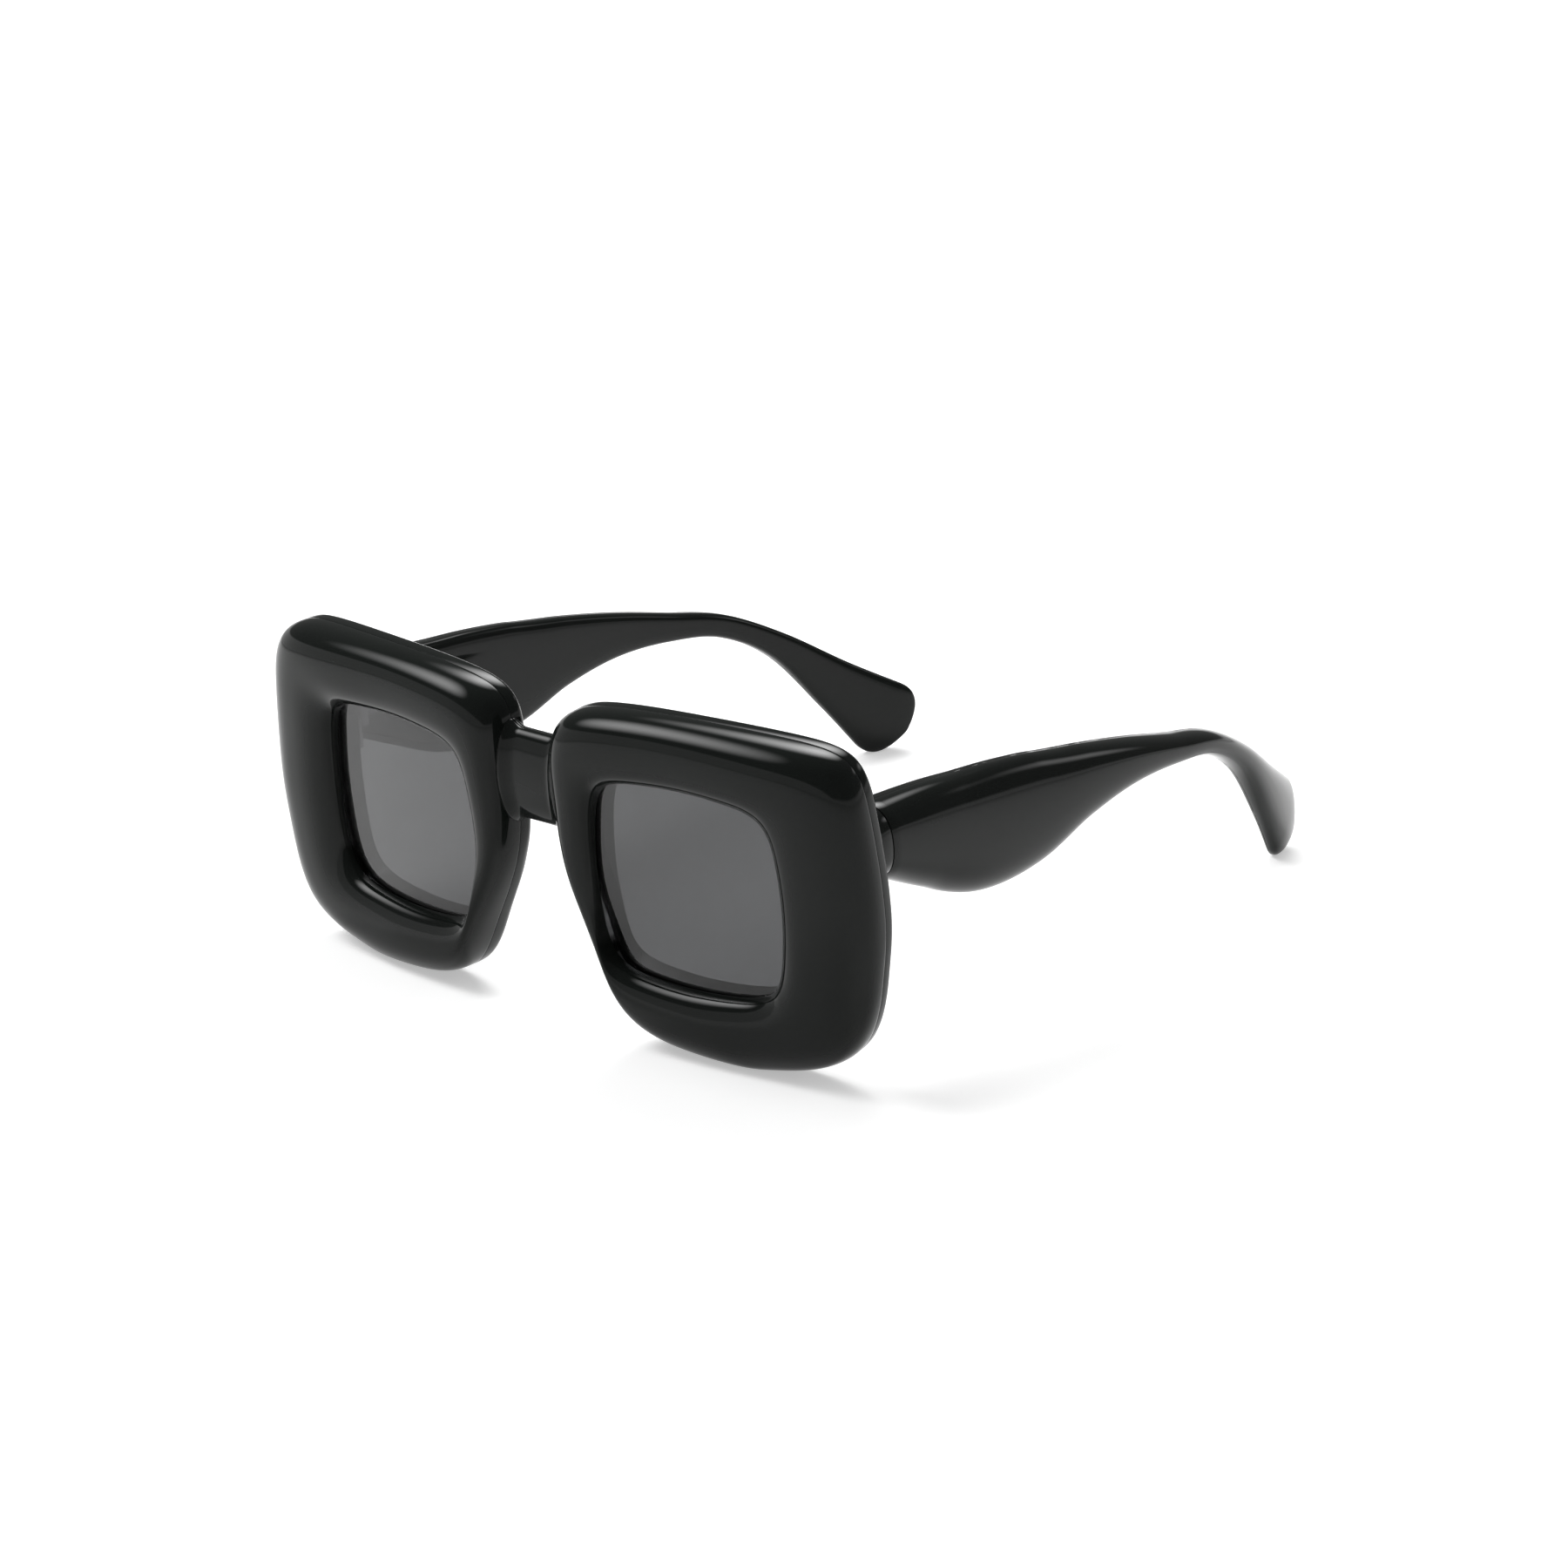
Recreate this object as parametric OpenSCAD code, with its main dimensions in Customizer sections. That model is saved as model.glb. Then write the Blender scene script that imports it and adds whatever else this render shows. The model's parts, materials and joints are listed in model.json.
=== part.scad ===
// Square sunglasses with fat, rounded rims, deep-set lenses and two folding temples.
// Millimetres. X runs from the wearer's right (-) to the left (+), the front faces -Y, and Z is up.
// The origin is on the resting surface, under the middle of the open pair.

/* [Front] */
// Radius that the front is bent to, round the face
face_r = 320; // [260:5:400]
// Forward lean of the top of the front, in degrees
front_lean = 5; // [0:0.5:8]
// Depth of the bulged front shell on the temple side, from the seam to its crest
bulge_d = 7.6; // [6.6:0.2:8.6]
// Depth of the back cover, from the seam to its back face
cover_d = 3.2; // [2.8:0.1:4.2]
// Wall of the hollow front shell
wall_t = 1.8; // [1.2:0.1:2]
// Rounding of the back cover's outer edge
cover_r = 1.4; // [0.8:0.1:1.8]
// Gap along the seam between front shell and back cover
seam_gap = 0.1; // [0.05:0.05:0.2]
// Height of the locating rib that stands into the front shell
rib_h = 1.2; // [0.8:0.1:2]
// Clearance beside the locating rib
rib_clear = 0.15; // [0.1:0.05:0.3]

/* [Rims] */
// Height of the lens opening
lens_h = 36.5; // [33:0.5:41]
// Width of the lens opening
lens_w = 38.5; // [36:0.5:44]
// Width of the rim on the temple side of the lens
side_band = 17.5; // [14:0.5:20]
// Width of the rim above the lens
top_band = 12; // [9:0.5:14]
// Width of the rim below the lens
low_band = 13; // [11:0.5:16]
// Width of the rim on the nose side of the lens
nose_band = 11.75; // [9.5:0.25:13]
// Half of the gap between the two rims
rim_gap = 2.25; // [2:0.25:5]
// How far the rim's upper corner on the temple side leans in
side_lean = 1.25; // [0:0.25:3]
// How far the rim draws back from the nose, down to its lower edge
nose_slope = 16.5; // [12:0.5:18]
// Rounding of the rim's upper corner on the temple side, along each edge
rim_round = 12; // [10:0.5:18]
// Rounding of the rim's upper corner on the nose side
nose_top_round = 16; // [12:0.5:18]
// Rounding of the rim's lower corner on the nose side
nose_round = 14; // [10:0.5:18]
// Rounding of the rim's lower corner on the temple side
low_round = 22; // [14:0.5:24]
// How far the middle of the rim's nose side stands out
nose_crown = 5; // [3:0.5:7]
// How far the middle of the rim's temple side stands out
side_crown = 1.5; // [0:0.25:2.5]
// How far the middles of the rim's upper and lower edges stand out
edge_crown = 0.5; // [0:0.25:1.5]
// How far the lens opening draws back from the nose at its lower edge
lens_slope = 0.5; // [0:0.5:4]
// Rounding of the lens opening's corners, along each edge
lens_round = 10; // [7:0.5:13]
// How far the middles of the opening's edges stand out
lens_crown = 0.5; // [0:0.25:1.5]

/* [Lenses] */
// Thickness of a lens
lens_t = 2; // [1.6:0.1:2.4]
// How far the front face of a lens stands in front of the seam
lens_lift = 3; // [2.6:0.1:3.6]
// Width of the seat round a lens
seat_w = 1.2; // [0.8:0.1:1.4]
// Clearance round a lens in its seat
lens_clear = 0.1; // [0.05:0.05:0.2]

/* [Bridge] */
// Height of the bridge's top edge above the rims' base line
bridge_top = 53; // [50:0.5:56]
// Height of the bridge's bottom edge above the rims' base line
bridge_low = 36; // [33:0.5:40]
// Depth of the bridge in front of the seam
bridge_d = 3.4; // [2.6:0.1:4.2]

/* [Nose pads] */
// How far each moulded pad stands behind the back cover
pad_d = 1; // [0.5:0.25:3]
// Height of the middle of a pad above the rims' base line
pad_v = 27; // [24:0.5:29]
// Length of a pad along the rim
pad_l = 18; // [14:1:20]

/* [Temples] */
// Length of a temple, front to back
temple_l = 143; // [133:1:153]
// Height of the hinge above the rims' base line
hinge_v = 43; // [40:0.5:45]
// Thickness of a temple at the hinge
temple_t = 9; // [8:0.25:10]
// Thickness of a temple at its tip
tip_t = 3.6; // [3.2:0.2:5]
// Thickness of the temple's inner cover at the hinge
inner_t = 3; // [2.6:0.1:3.2]
// Height of a temple at its belly, where it is deepest
belly_h = 22.5; // [19:0.5:25]
// How far a tip curls in towards the head
tip_in = 17.5; // [10:0.5:24]
// Height of the middle of a tip's end above the rims' base line
tip_v = 3.4; // [2.6:0.1:6]
// Rounding radius of a tip
tip_r = 7.5; // [5:0.5:9]
// How far a temple's outer face lies inside the front's edge
temple_inset = 1.75; // [1:0.25:4]
// Depth of the lug between front and temple
lug_d = 3.3; // [3.2:0.1:4.5]
// Gap between a lug and its open temple
fold_gap = 0.3; // [0.2:0.05:0.5]

/* [Hinges] */
// Radius of a hinge knuckle
knuckle_r = 1.7; // [1.5:0.05:1.8]
// Height of one knuckle
knuckle_h = 2.4; // [2:0.1:2.8]
// Gap between knuckles, end to end
knuckle_gap = 0.1; // [0.05:0.05:0.2]
// Room round the knuckles
knuckle_room = 0.3; // [0.2:0.05:0.4]
// Radius of the hinge screw
pin_r = 0.7; // [0.6:0.05:0.8]
// Radial clearance of the hinge screw in the turning knuckle
pin_clear = 0.04; // [0.02:0.01:0.08]
// Radial clearance of a screw in what it is fixed in
thread_clear = 0.02; // [0.01:0.01:0.04]
// Radius of the hinge screw's head
pin_head_r = 1.3; // [1.1:0.05:1.5]
// Height of the hinge screw's head
pin_head_h = 0.8; // [0.6:0.1:1]
// Distance from the pivot to the temple's inner face
pivot_out = 1.2; // [1:0.05:1.3]
// Thickness of a hinge leaf
leaf_t = 1; // [0.8:0.05:1.1]
// Length of the temple's leaf behind the pivot
leaf_l = 13; // [12:0.5:16]
// Height of the temple's leaf
leaf_h = 6.4; // [5:0.2:8]
// How far the temple's leaf is let into the inner cover
leaf_seat = 0.7; // [0.4:0.05:0.8]
// Height of the front's leaf
front_leaf_h = 14; // [13.4:0.2:15]
// Margin of a leaf beyond its screw heads
leaf_edge = 0.3; // [0.2:0.05:0.5]
// Radius of a small leaf screw
screw_r = 0.6; // [0.5:0.05:0.7]
// Length of a small leaf screw under its head
screw_l = 2.8; // [2.4:0.1:3]
// Radius of a small screw's head
screw_head_r = 1.1; // [0.9:0.05:1.2]
// Height of a small screw's head
screw_head_h = 0.5; // [0.4:0.05:0.6]
// Width of a screwdriver slot
slot_w = 0.35; // [0.25:0.05:0.45]
// Depth of a screwdriver slot
slot_d = 0.25; // [0.15:0.05:0.3]

/* [Hidden] */
$fn = 48;

// A temple's features from the hinge end to the tip: belly, shoulder, neck, bend over the ear, hook and tip.
// Shares of its length, of the way up from the tip to the hinge, and of the belly's height
temple_shares = [[0, 1, 0.6], [0.1, 0.93, 0.83], [0.2, 0.86, 1], [0.3, 0.85, 0.92], [0.4, 0.88, 0.63],
    [0.5, 0.88, 0.4], [0.6, 0.84, 0.26], [0.7, 0.77, 0.21], [0.8, 0.59, 0.25], [0.9, 0.3, 0.48], [1, 0, 0.8]];
// How far the curve point of a rounded corner is drawn in, of its rounding
cut_share = 0.15;

rim_w = nose_band + lens_w + side_band;
rim_h = low_band + lens_h + top_band;

// Curve points of a four-sided outline, from the middle of its temple side over the top: each side's middle
// stands out by its crown, and each corner is rounded over its own length along both of its sides
function soft_outline(corners, rounds, crowns) =
    [for (i = [0:3])
        let(p = corners[(i + 3) % 4], c = corners[i], a = unit(c - p), b = unit(corners[(i + 1) % 4] - c))
        each [(p + c) / 2 + [a[1], -a[0]] * crowns[i], c - a * rounds[i],
            c + (b - a) * rounds[i] * cut_share, c + b * rounds[i]]];
rim_line = soft_outline(
    [[rim_gap + rim_w - side_lean, rim_h], [rim_gap, rim_h], [rim_gap + nose_slope, 0], [rim_gap + rim_w, 0]],
    [rim_round, nose_top_round, nose_round, low_round], [side_crown, edge_crown, nose_crown, edge_crown]);
lens_line = soft_outline(
    [[rim_gap + nose_band + lens_w, low_band + lens_h], [rim_gap + nose_band, low_band + lens_h],
        [rim_gap + nose_band + lens_slope, low_band], [rim_gap + nose_band + lens_w, low_band]],
    [lens_round, lens_round, lens_round, lens_round], [lens_crown, lens_crown, lens_crown, lens_crown]);

// Exponents that round the sections and the curl of the tips
bulge_share = 2.4;
swell_share = 0.25;
bridge_share = 3;
temple_share = 2.4;
inner_share = 5;
tip_share = 2.2;
tip_face_share = 2.2;
curl_share = 3.4;
tip_flat_share = 0.4;
// Largest part of a narrow band that one wall may take
wall_cap_share = 0.3;
// Crest of a pad across the band, and how much of its depth is rounded
pad_peak_share = 0.45;
pad_round_share = 0.7;
// Rings of a lens, as shares of the way out from its middle, and the screws' places along a temple's leaf
lens_ring_shares = [1, 0.5];
leaf_screw_shares = [0.42, 0.8];
// Columns round a rim: over the top, along the bridge, and round the rest
top_cols = 24;
bridge_cols = 4;
low_cols = 28;
// Rows of the rounded sections, and rings along the bridge and the temples
bulge_rows = 11;
cavity_rows = 7;
cover_rows = 2;
pad_rows = 3;
front_bridge_rows = 2;
back_bridge_rows = cover_rows + 1;
bridge_rings = 3;
arc_spans = 8;
hollow_spans = 12;
neck_spans = 12;
tip_spans = 5;
// Shares of a temple's path: the end of its hollow, the turn from its square front end, the tip
hollow_share = 0.42;
blend_share = 0.14;
tip_span_share = 0.07;
// Angle of a tip's rounding that its last ring reaches, in degrees
tip_turn = 85;
path_step = 0.002;
solve_steps = 24;
// Slope of a hollow's end wall, and the overrun of cuts
slice = 0.6;
overrun = 0.5;
pin_end = 0.3;

function unit(v) = v / norm(v);
function mix(a, b, t) = a + (b - a) * t;
function clamp01(x) = min(1, max(0, x));

// Point at t, 0 to 1, of the closed smooth curve that the points p draw in
function loop_pt(p, t) =
    let(n = len(p), x = t * n, i = floor(x), f = x - i, g = 1 - f)
    (g ^ 3 * p[(i + n - 1) % n] + (3 * f ^ 3 - 6 * f ^ 2 + 4) * p[i % n]
        + (3 * g ^ 3 - 6 * g ^ 2 + 4) * p[(i + 1) % n] + f ^ 3 * p[(i + 2) % n]) / 6;

// Point at t of the smooth curve that runs through the points p, from the first to the last
function path_pt(p, t) =
    let(n = len(p) - 1, x = clamp01(t) * n, i = min(floor(x), n - 1), f = x - i, b = p[i], c = p[i + 1],
        a = i > 0 ? p[i - 1] : 2 * b - c, d = i < n - 1 ? p[i + 2] : 2 * c - b)
    b + f * (c - a) / 2 + f ^ 2 * (a - 2.5 * b + 2 * c - d / 2) + f ^ 3 * ((d - a) / 2 + 1.5 * (b - c));

// Half round of exponent q at angle a: [across 0 to 1, up 0 to 1]
function round_r(a, q) = (abs(cos(a)) ^ q + abs(sin(a)) ^ q) ^ (-1 / q);
function arch(a, q) = [(1 - round_r(a, q) * cos(a)) / 2, round_r(a, q) * sin(a)];

// Place of the point uv, [across, up], that stands out by n from the bent and leaning seam surface
function bend(uv, n) =
    let(a = uv[0] / face_r * 180 / PI, y = face_r - (face_r + n) * cos(a))
    [(face_r + n) * sin(a), y * cos(front_lean) - uv[1] * sin(front_lean),
        y * sin(front_lean) + uv[1] * cos(front_lean)];
// How far back that surface lies at x and z
function skin_y(x, z, n) =
    let(y = face_r - (face_r + n) * cos(asin(x / (face_r + n))),
        v = (z - y * sin(front_lean)) / cos(front_lean))
    y * cos(front_lean) - v * sin(front_lean);

// Band between outline and opening at t: its width, the way across it, its wall and its bulge
function band(t) = norm(loop_pt(lens_line, t) - loop_pt(rim_line, t));
function across(t) = unit(loop_pt(lens_line, t) - loop_pt(rim_line, t));
function wall(t) = min(wall_t, band(t) * wall_cap_share);
function bulge(t) = bulge_d * (band(t) / side_band) ^ swell_share;

// Where, from a, the middle of its top, to b, the middle of its bottom, the rim's outline comes down to the
// height v on the nose side
function height_t(v, a = 1 / 4, b = 3 / 4, k = solve_steps) =
    let(m = (a + b) / 2)
    k == 0 ? m : loop_pt(rim_line, m)[1] > v ? height_t(v, m, b, k - 1) : height_t(v, a, m, k - 1);
top_t = height_t(bridge_top);
low_t = height_t(bridge_low);
pad_t = height_t(pad_v);
pad_reach_t = height_t(pad_v - pad_l / 2) - pad_t;
// Share of the pad's full depth at t
function pad_at(t) = let(d = abs(t - pad_t) / pad_reach_t) d < 1 ? cos(90 * d) ^ 2 : 0;
cols = concat([for (i = [0:top_cols - 1]) mix(0, top_t, i / top_cols)],
    [for (i = [0:bridge_cols - 1]) mix(top_t, low_t, i / bridge_cols)],
    [for (i = [0:low_cols - 1]) mix(low_t, 1, i / low_cols)]);

// Angle, from a to b, at which the bulge at t reaches the depth d
function depth_a(d, t, a = 0, b = 90, k = solve_steps) =
    let(m = (a + b) / 2)
    k == 0 ? m
        : arch(m, bulge_share)[1] * bulge(t) < d ? depth_a(d, t, m, b, k - 1) : depth_a(d, t, a, m, k - 1);

// Sections of the two shells at t, as [distance across the band, depth in front of the seam]
function front_section(t) =
    let(b = band(t), w = wall(t), d = bulge(t), seat = min(seat_w, w), a0 = depth_a(bridge_d, t),
        angles = concat([0, a0 / 2], [for (i = [0:bulge_rows]) mix(a0, 180, i / bulge_rows)]))
    concat([for (a = angles) let(p = arch(a, bulge_share))
            [b * p[0], mix(a > 90 ? lens_lift + seam_gap : seam_gap, d, p[1])]],
        [[b - seat, lens_lift + seam_gap], [b - seat, seam_gap]],
        [for (i = [0:cavity_rows]) let(p = arch(180 - 180 * i / cavity_rows, bulge_share))
            [w + (b - 2 * w - seat) * p[0], mix(seam_gap, d - w, p[1])]]);
function back_section(t) =
    let(b = band(t), w = wall(t), p = pad_at(t), d = cover_d + pad_d * p,
        r = min(cover_r, b * wall_cap_share), rx = mix(r, b * pad_peak_share, p),
        ry = mix(r, d * pad_round_share, p),
        ring = b - min(seat_w, w) + rib_clear, level = lens_lift - lens_t - lens_clear,
        rib_a = w + rib_clear, rib_b = rib_a + (b - 2 * w) * wall_cap_share)
    concat([[0, 0]],
        [for (i = [0:cover_rows]) let(a = 90 * i / cover_rows) [rx * (1 - cos(a)), ry * (1 - sin(a)) - d]],
        [for (i = [1:pad_rows])
            [mix(rx, b - r / 2, i / pad_rows), -mix(cover_d, d, (1 + cos(180 * i / pad_rows)) / 2)]],
        [[b, r / 2 - cover_d], [b, level], [ring, level], [ring, 0],
            [rib_b, 0], [rib_b, rib_h], [rib_a, rib_h], [rib_a, 0]]);
front_sections = [for (t = cols) front_section(t)];
back_sections = [for (t = cols) back_section(t)];

// Points of one rim, column by column
function rim_points(side, sections) =
    [for (i = [0:len(cols) - 1], p = sections[i])
        let(q = bend(loop_pt(rim_line, cols[i]) + across(cols[i]) * p[0], p[1])) [side * q[0], q[1], q[2]]];
// Edge of the patch where the bridge joins a rim: [column, row, share up, share forward]
function patch_edge(rows) =
    let(c = top_cols, n = bridge_cols)
    concat([for (i = [0:n - 1]) [c + n - i, 0, i / n, 0]],
        [for (r = [0:rows - 1]) [c, r, 1, r / rows]],
        [for (i = [0:n - 1]) [c + i, rows, 1 - i / n, 1]],
        [for (r = [0:rows - 1]) [c + n, rows - r, 0, 1 - r / rows]]);
// Ring of the bridge at u, from the depth n0 to n1
function bridge_ring(u, rows, n0, n1) =
    [for (e = patch_edge(rows))
        let(x = 2 * e[2] - 1, y = e[3],
            f = y == 0 ? 1 : (abs(x) ^ bridge_share + y ^ bridge_share) ^ (-1 / bridge_share))
        bend([u, (bridge_top + bridge_low) / 2 + (bridge_top - bridge_low) / 2 * x * f], mix(n0, n1, y * f))];
function quad(a, b, c, d, flip) = flip ? [[a, c, b], [a, d, c]] : [[a, b, c], [a, c, d]];
// Both rims and the bridge between them, as one closed skin
module front_skin(sections, rows, n0, n1, flip) {
    n = len(cols);
    k = len(sections[0]);
    edge = patch_edge(rows);
    m = len(edge);
    reach = loop_pt(rim_line, (top_t + low_t) / 2)[0] - wall_t / 2;
    us = [for (i = [0:bridge_rings - 1]) mix(reach, -reach, i / (bridge_rings - 1))];
    points = concat(rim_points(1, sections), rim_points(-1, sections),
        [for (u = us) each bridge_ring(u, rows, n0, n1)]);
    rim_quads = [for (side = [0, 1], i = [0:n - 1], j = [0:k - 1])
        let(i2 = (i + 1) % n, j2 = (j + 1) % k, o = side * n * k)
        if (i < top_cols || i >= top_cols + bridge_cols || j >= rows)
            each quad(o + i * k + j, o + i2 * k + j, o + i2 * k + j2, o + i * k + j2, (side == 1) != flip)];
    rings = concat([[for (e = edge) e[0] * k + e[1]]],
        [for (s = [0:len(us) - 1]) [for (i = [0:m - 1]) 2 * n * k + s * m + i]],
        [[for (e = edge) n * k + e[0] * k + e[1]]]);
    bridge_quads = [for (s = [0:len(rings) - 2], i = [0:m - 1])
        let(i2 = (i + 1) % m) each quad(rings[s][i], rings[s][i2], rings[s + 1][i2], rings[s + 1][i], !flip)];
    polyhedron(points, concat(rim_quads, bridge_quads), convexity = 10);
}

// Temple sizes in the frame of the front
rim_edge_x = face_r * sin(loop_pt(rim_line, 0)[0] / face_r * 180 / PI);
temple_x = rim_edge_x - temple_inset;
inner_x = temple_x - temple_t;
pivot_x = inner_x - pivot_out;
hinge_z = hinge_v * cos(front_lean);
hinge_y = skin_y(temple_x - temple_t / 2, hinge_z, -cover_d) + lug_d;
temple_y = hinge_y + fold_gap / 2 / cos(front_lean);
temple_line = [for (s = temple_shares) [s[0] * temple_l, mix(tip_v, hinge_z, s[1]), s[2] * belly_h / 2]];

// Where, from a to b, a temple's path has run the distance d back
function path_t(d, a = 0, b = 1 / 2, k = solve_steps) =
    let(m = (a + b) / 2)
    k == 0 ? m : path_pt(temple_line, m)[0] < d ? path_t(d, m, b, k - 1) : path_t(d, a, m, k - 1);
hollow_a = path_t(wall_t);
hollow_b = path_t(wall_t + slice);
neck_a = hollow_share + hollow_b - hollow_a;
temple_ts = concat([0, hollow_a],
    [for (i = [0:hollow_spans]) mix(hollow_b, hollow_share, i / hollow_spans)],
    [for (i = [0:neck_spans - 1]) mix(neck_a, 1 - tip_span_share, i / neck_spans)],
    [for (i = [0:tip_spans]) 1 - tip_span_share * (1 - sin(tip_turn * i / tip_spans))]);

// A temple's outer face, thickness and seam at the distance y behind its front end
function out_x(y) = temple_x - tip_in * (max(y, 0) / temple_l) ^ curl_share;
function thick(y) = mix(temple_t, tip_t, clamp01(y / temple_l));
function seam_x(y) = out_x(y) - thick(y) * (1 - inner_t / temple_t);

// Point of a temple at t: e half heights up, and f of the way from the seam to the outer (+) or inner (-)
// face, with the gap left at the seam
function temple_pt(t, e, f, gap) =
    let(c = path_pt(temple_line, t), c1 = path_pt(temple_line, t - path_step),
        c2 = path_pt(temple_line, t + path_step), d = unit([c2[0] - c1[0], c2[1] - c1[1]]),
        up = unit(mix([-sin(front_lean), cos(front_lean)], [-d[1], d[0]], clamp01(t / blend_share))),
        tip = path_pt(temple_line, 1), k = clamp01(1 - norm([tip[0] - c[0], tip[1] - c[1]]) / tip_r),
        s = (1 - k ^ tip_share) ^ (1 / tip_share), h = c[2] * s,
        y = c[0] + up[0] * h * e, z = c[1] + up[1] * h * e,
        x = seam_x(y) + gap + f * (f > 0 ? out_x(y) - seam_x(y) - gap : thick(y) * inner_t / temple_t),
        middle = out_x(y) - thick(y) / 2)
    [middle + (x - middle) * mix(tip_flat_share, 1, s), y, z];

// Exponent of a temple's section at t: the faces round off towards the tip
function face_q(q, t) = mix(q, tip_face_share, t);
// Section of the outer shell at t: over the outer face, and back along the hollow
function outer_ring(t) =
    let(open = t >= hollow_b && t <= hollow_share, c = path_pt(temple_line, t),
        h = 1 - min((open ? wall_t : wall_t / 2) / c[2], wall_cap_share),
        d = out_x(c[0]) - seam_x(c[0]), f = open ? (d - wall_t) / d : 0)
    concat([for (i = [0:arc_spans]) let(a = 90 - 180 * i / arc_spans, r = round_r(a, face_q(temple_share, t)))
            temple_pt(t, r * sin(a), r * max(cos(a), 0), seam_gap)],
        [for (i = [0:arc_spans]) let(a = 180 * i / arc_spans - 90, r = round_r(a, face_q(temple_share, t)))
            temple_pt(t, h * r * sin(a), f * r * max(cos(a), 0), seam_gap)]);
function inner_ring(t) =
    [for (i = [0:arc_spans]) let(a = 90 + 180 * i / arc_spans, r = round_r(a, face_q(inner_share, t)))
        temple_pt(t, r * sin(a), r * min(cos(a), 0), 0)];
outer_rings = [for (t = temple_ts) outer_ring(t)];
outer_points = [for (r = outer_rings) each r];

// Skin through rings of equal length, closed at both ends by a strip, or by a fan
module tube_skin(rings, strip, flip) {
    n = len(rings);
    k = len(rings[0]);
    sides = [for (i = [0:n - 2], j = [0:k - 1])
        let(j2 = (j + 1) % k) each quad(i * k + j, i * k + j2, i * k + k + j2, i * k + k + j, flip)];
    ends = [for (o = [0, (n - 1) * k]) each strip
        ? [for (j = [0:k / 2 - 2])
            let(a = o + j, b = o + k - 1 - j, turn = (o > 0) != flip)
            each j < k / 4 ? quad(b, b - 1, a + 1, a, turn) : quad(a, b, b - 1, a + 1, turn)]
        : [for (j = [1:k - 2]) (o > 0) != flip ? [o, o + j, o + j + 1] : [o, o + j + 1, o + j]]];
    polyhedron([for (r = rings) each r], concat(sides, ends), convexity = 10);
}

// Resting height and middle of the whole pair, from its lowest and furthest points
front_points = concat(rim_points(1, front_sections), rim_points(1, back_sections));
floor_shift = -min(concat([for (p = front_points) p[2]], [for (p = outer_points) p[2]]));
back_shift = -(min([for (p = front_points) p[1]]) + temple_y + max([for (p = outer_points) p[1]])) / 2;
module place() translate([0, back_shift, floor_shift]) children();
module place_temple() translate([0, back_shift + temple_y, floor_shift]) children();
// Place of the pivot, with Z along its axis, which leans with the front
module place_hinge() {
    translate([pivot_x, back_shift + hinge_y, floor_shift + hinge_z]) rotate([front_lean, 0, 0]) children();
}

frame_colour = [0.04, 0.04, 0.045];
lens_colour = [0.3, 0.3, 0.32];
steel_colour = [0.7, 0.7, 0.72];

module front_shell() {
    color(frame_colour) place() front_skin(front_sections, front_bridge_rows, seam_gap, bridge_d, true);
}

// Hinge places, measured from the pivot: the front leaf's seat and screws, and the temple leaf's screws
stack_h = 3 * knuckle_h + 2 * knuckle_gap;
leaf_top = -knuckle_r - knuckle_room;
front_screw_x = -pivot_out;
front_screw_z = (stack_h + front_leaf_h) / 4;
front_leaf_x = front_screw_x - screw_head_r - leaf_edge;
front_leaf_end_x = pivot_out - leaf_edge;
temple_leaf_x = pivot_out + leaf_seat - leaf_t;
temple_screw_y = [for (s = leaf_screw_shares) leaf_l * s];

// Block that grows out of the back cover under the outline p, [x, z], to d behind the pivot's leaning plane
module grown_block(p, d) {
    tube_skin([[for (q = p) [q[0], skin_y(q[0], q[1], -cover_d / 2), q[1]]],
        [for (q = p) [q[0], hinge_y - (q[1] - hinge_z) * tan(front_lean) + d / cos(front_lean), q[1]]]],
        false, false);
}
lug_line = [for (i = [0:2 * arc_spans - 1])
    let(a = 180 * i / arc_spans, out = cos(a) > 0, r = round_r(a, out ? temple_share : inner_share))
    [seam_x(0) + r * cos(a) * (out ? temple_x - seam_x(0) : inner_t),
        hinge_z + r * sin(a) * temple_line[0][2] * cos(front_lean)]];
seat_line = [for (s = [[1, 1], [0, 1], [0, -1], [1, -1]])
    [pivot_x + mix(front_leaf_x - leaf_edge, pivot_out + inner_t / 2, s[0]),
        hinge_z + s[1] * (front_leaf_h / 2 + leaf_edge)]];

// Room for the knuckles and for the hinge screw's head to turn in
module turning_room() {
    place_hinge() translate([0, 0, -stack_h / 2 - pin_end - knuckle_room])
        cylinder(r = knuckle_r + knuckle_room, h = stack_h + pin_end + pin_head_h + 2 * knuckle_room);
}
// The under side of each leaf screw's head, with Z towards the screw's point
module front_screws() {
    place_hinge() for (s = [-1, 1])
        translate([front_screw_x, leaf_top, s * front_screw_z]) rotate([90, 0, 0]) children();
}
module temple_screws() {
    place_hinge() for (y = temple_screw_y) translate([temple_leaf_x, y, 0]) rotate([0, 90, 0]) children();
}
module screw_holes(r) {
    translate([0, 0, -overrun]) cylinder(r = r, h = screw_l + 2 * overrun);
}
module leaf_screw() {
    difference() {
        union() {
            cylinder(r = screw_r, h = screw_l);
            translate([0, 0, -screw_head_h]) cylinder(r = screw_head_r, h = screw_head_h);
        }
        translate([-screw_head_r - overrun, -slot_w / 2, -screw_head_h - overrun])
            cube([2 * (screw_head_r + overrun), slot_w, slot_d + overrun]);
    }
}

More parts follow.
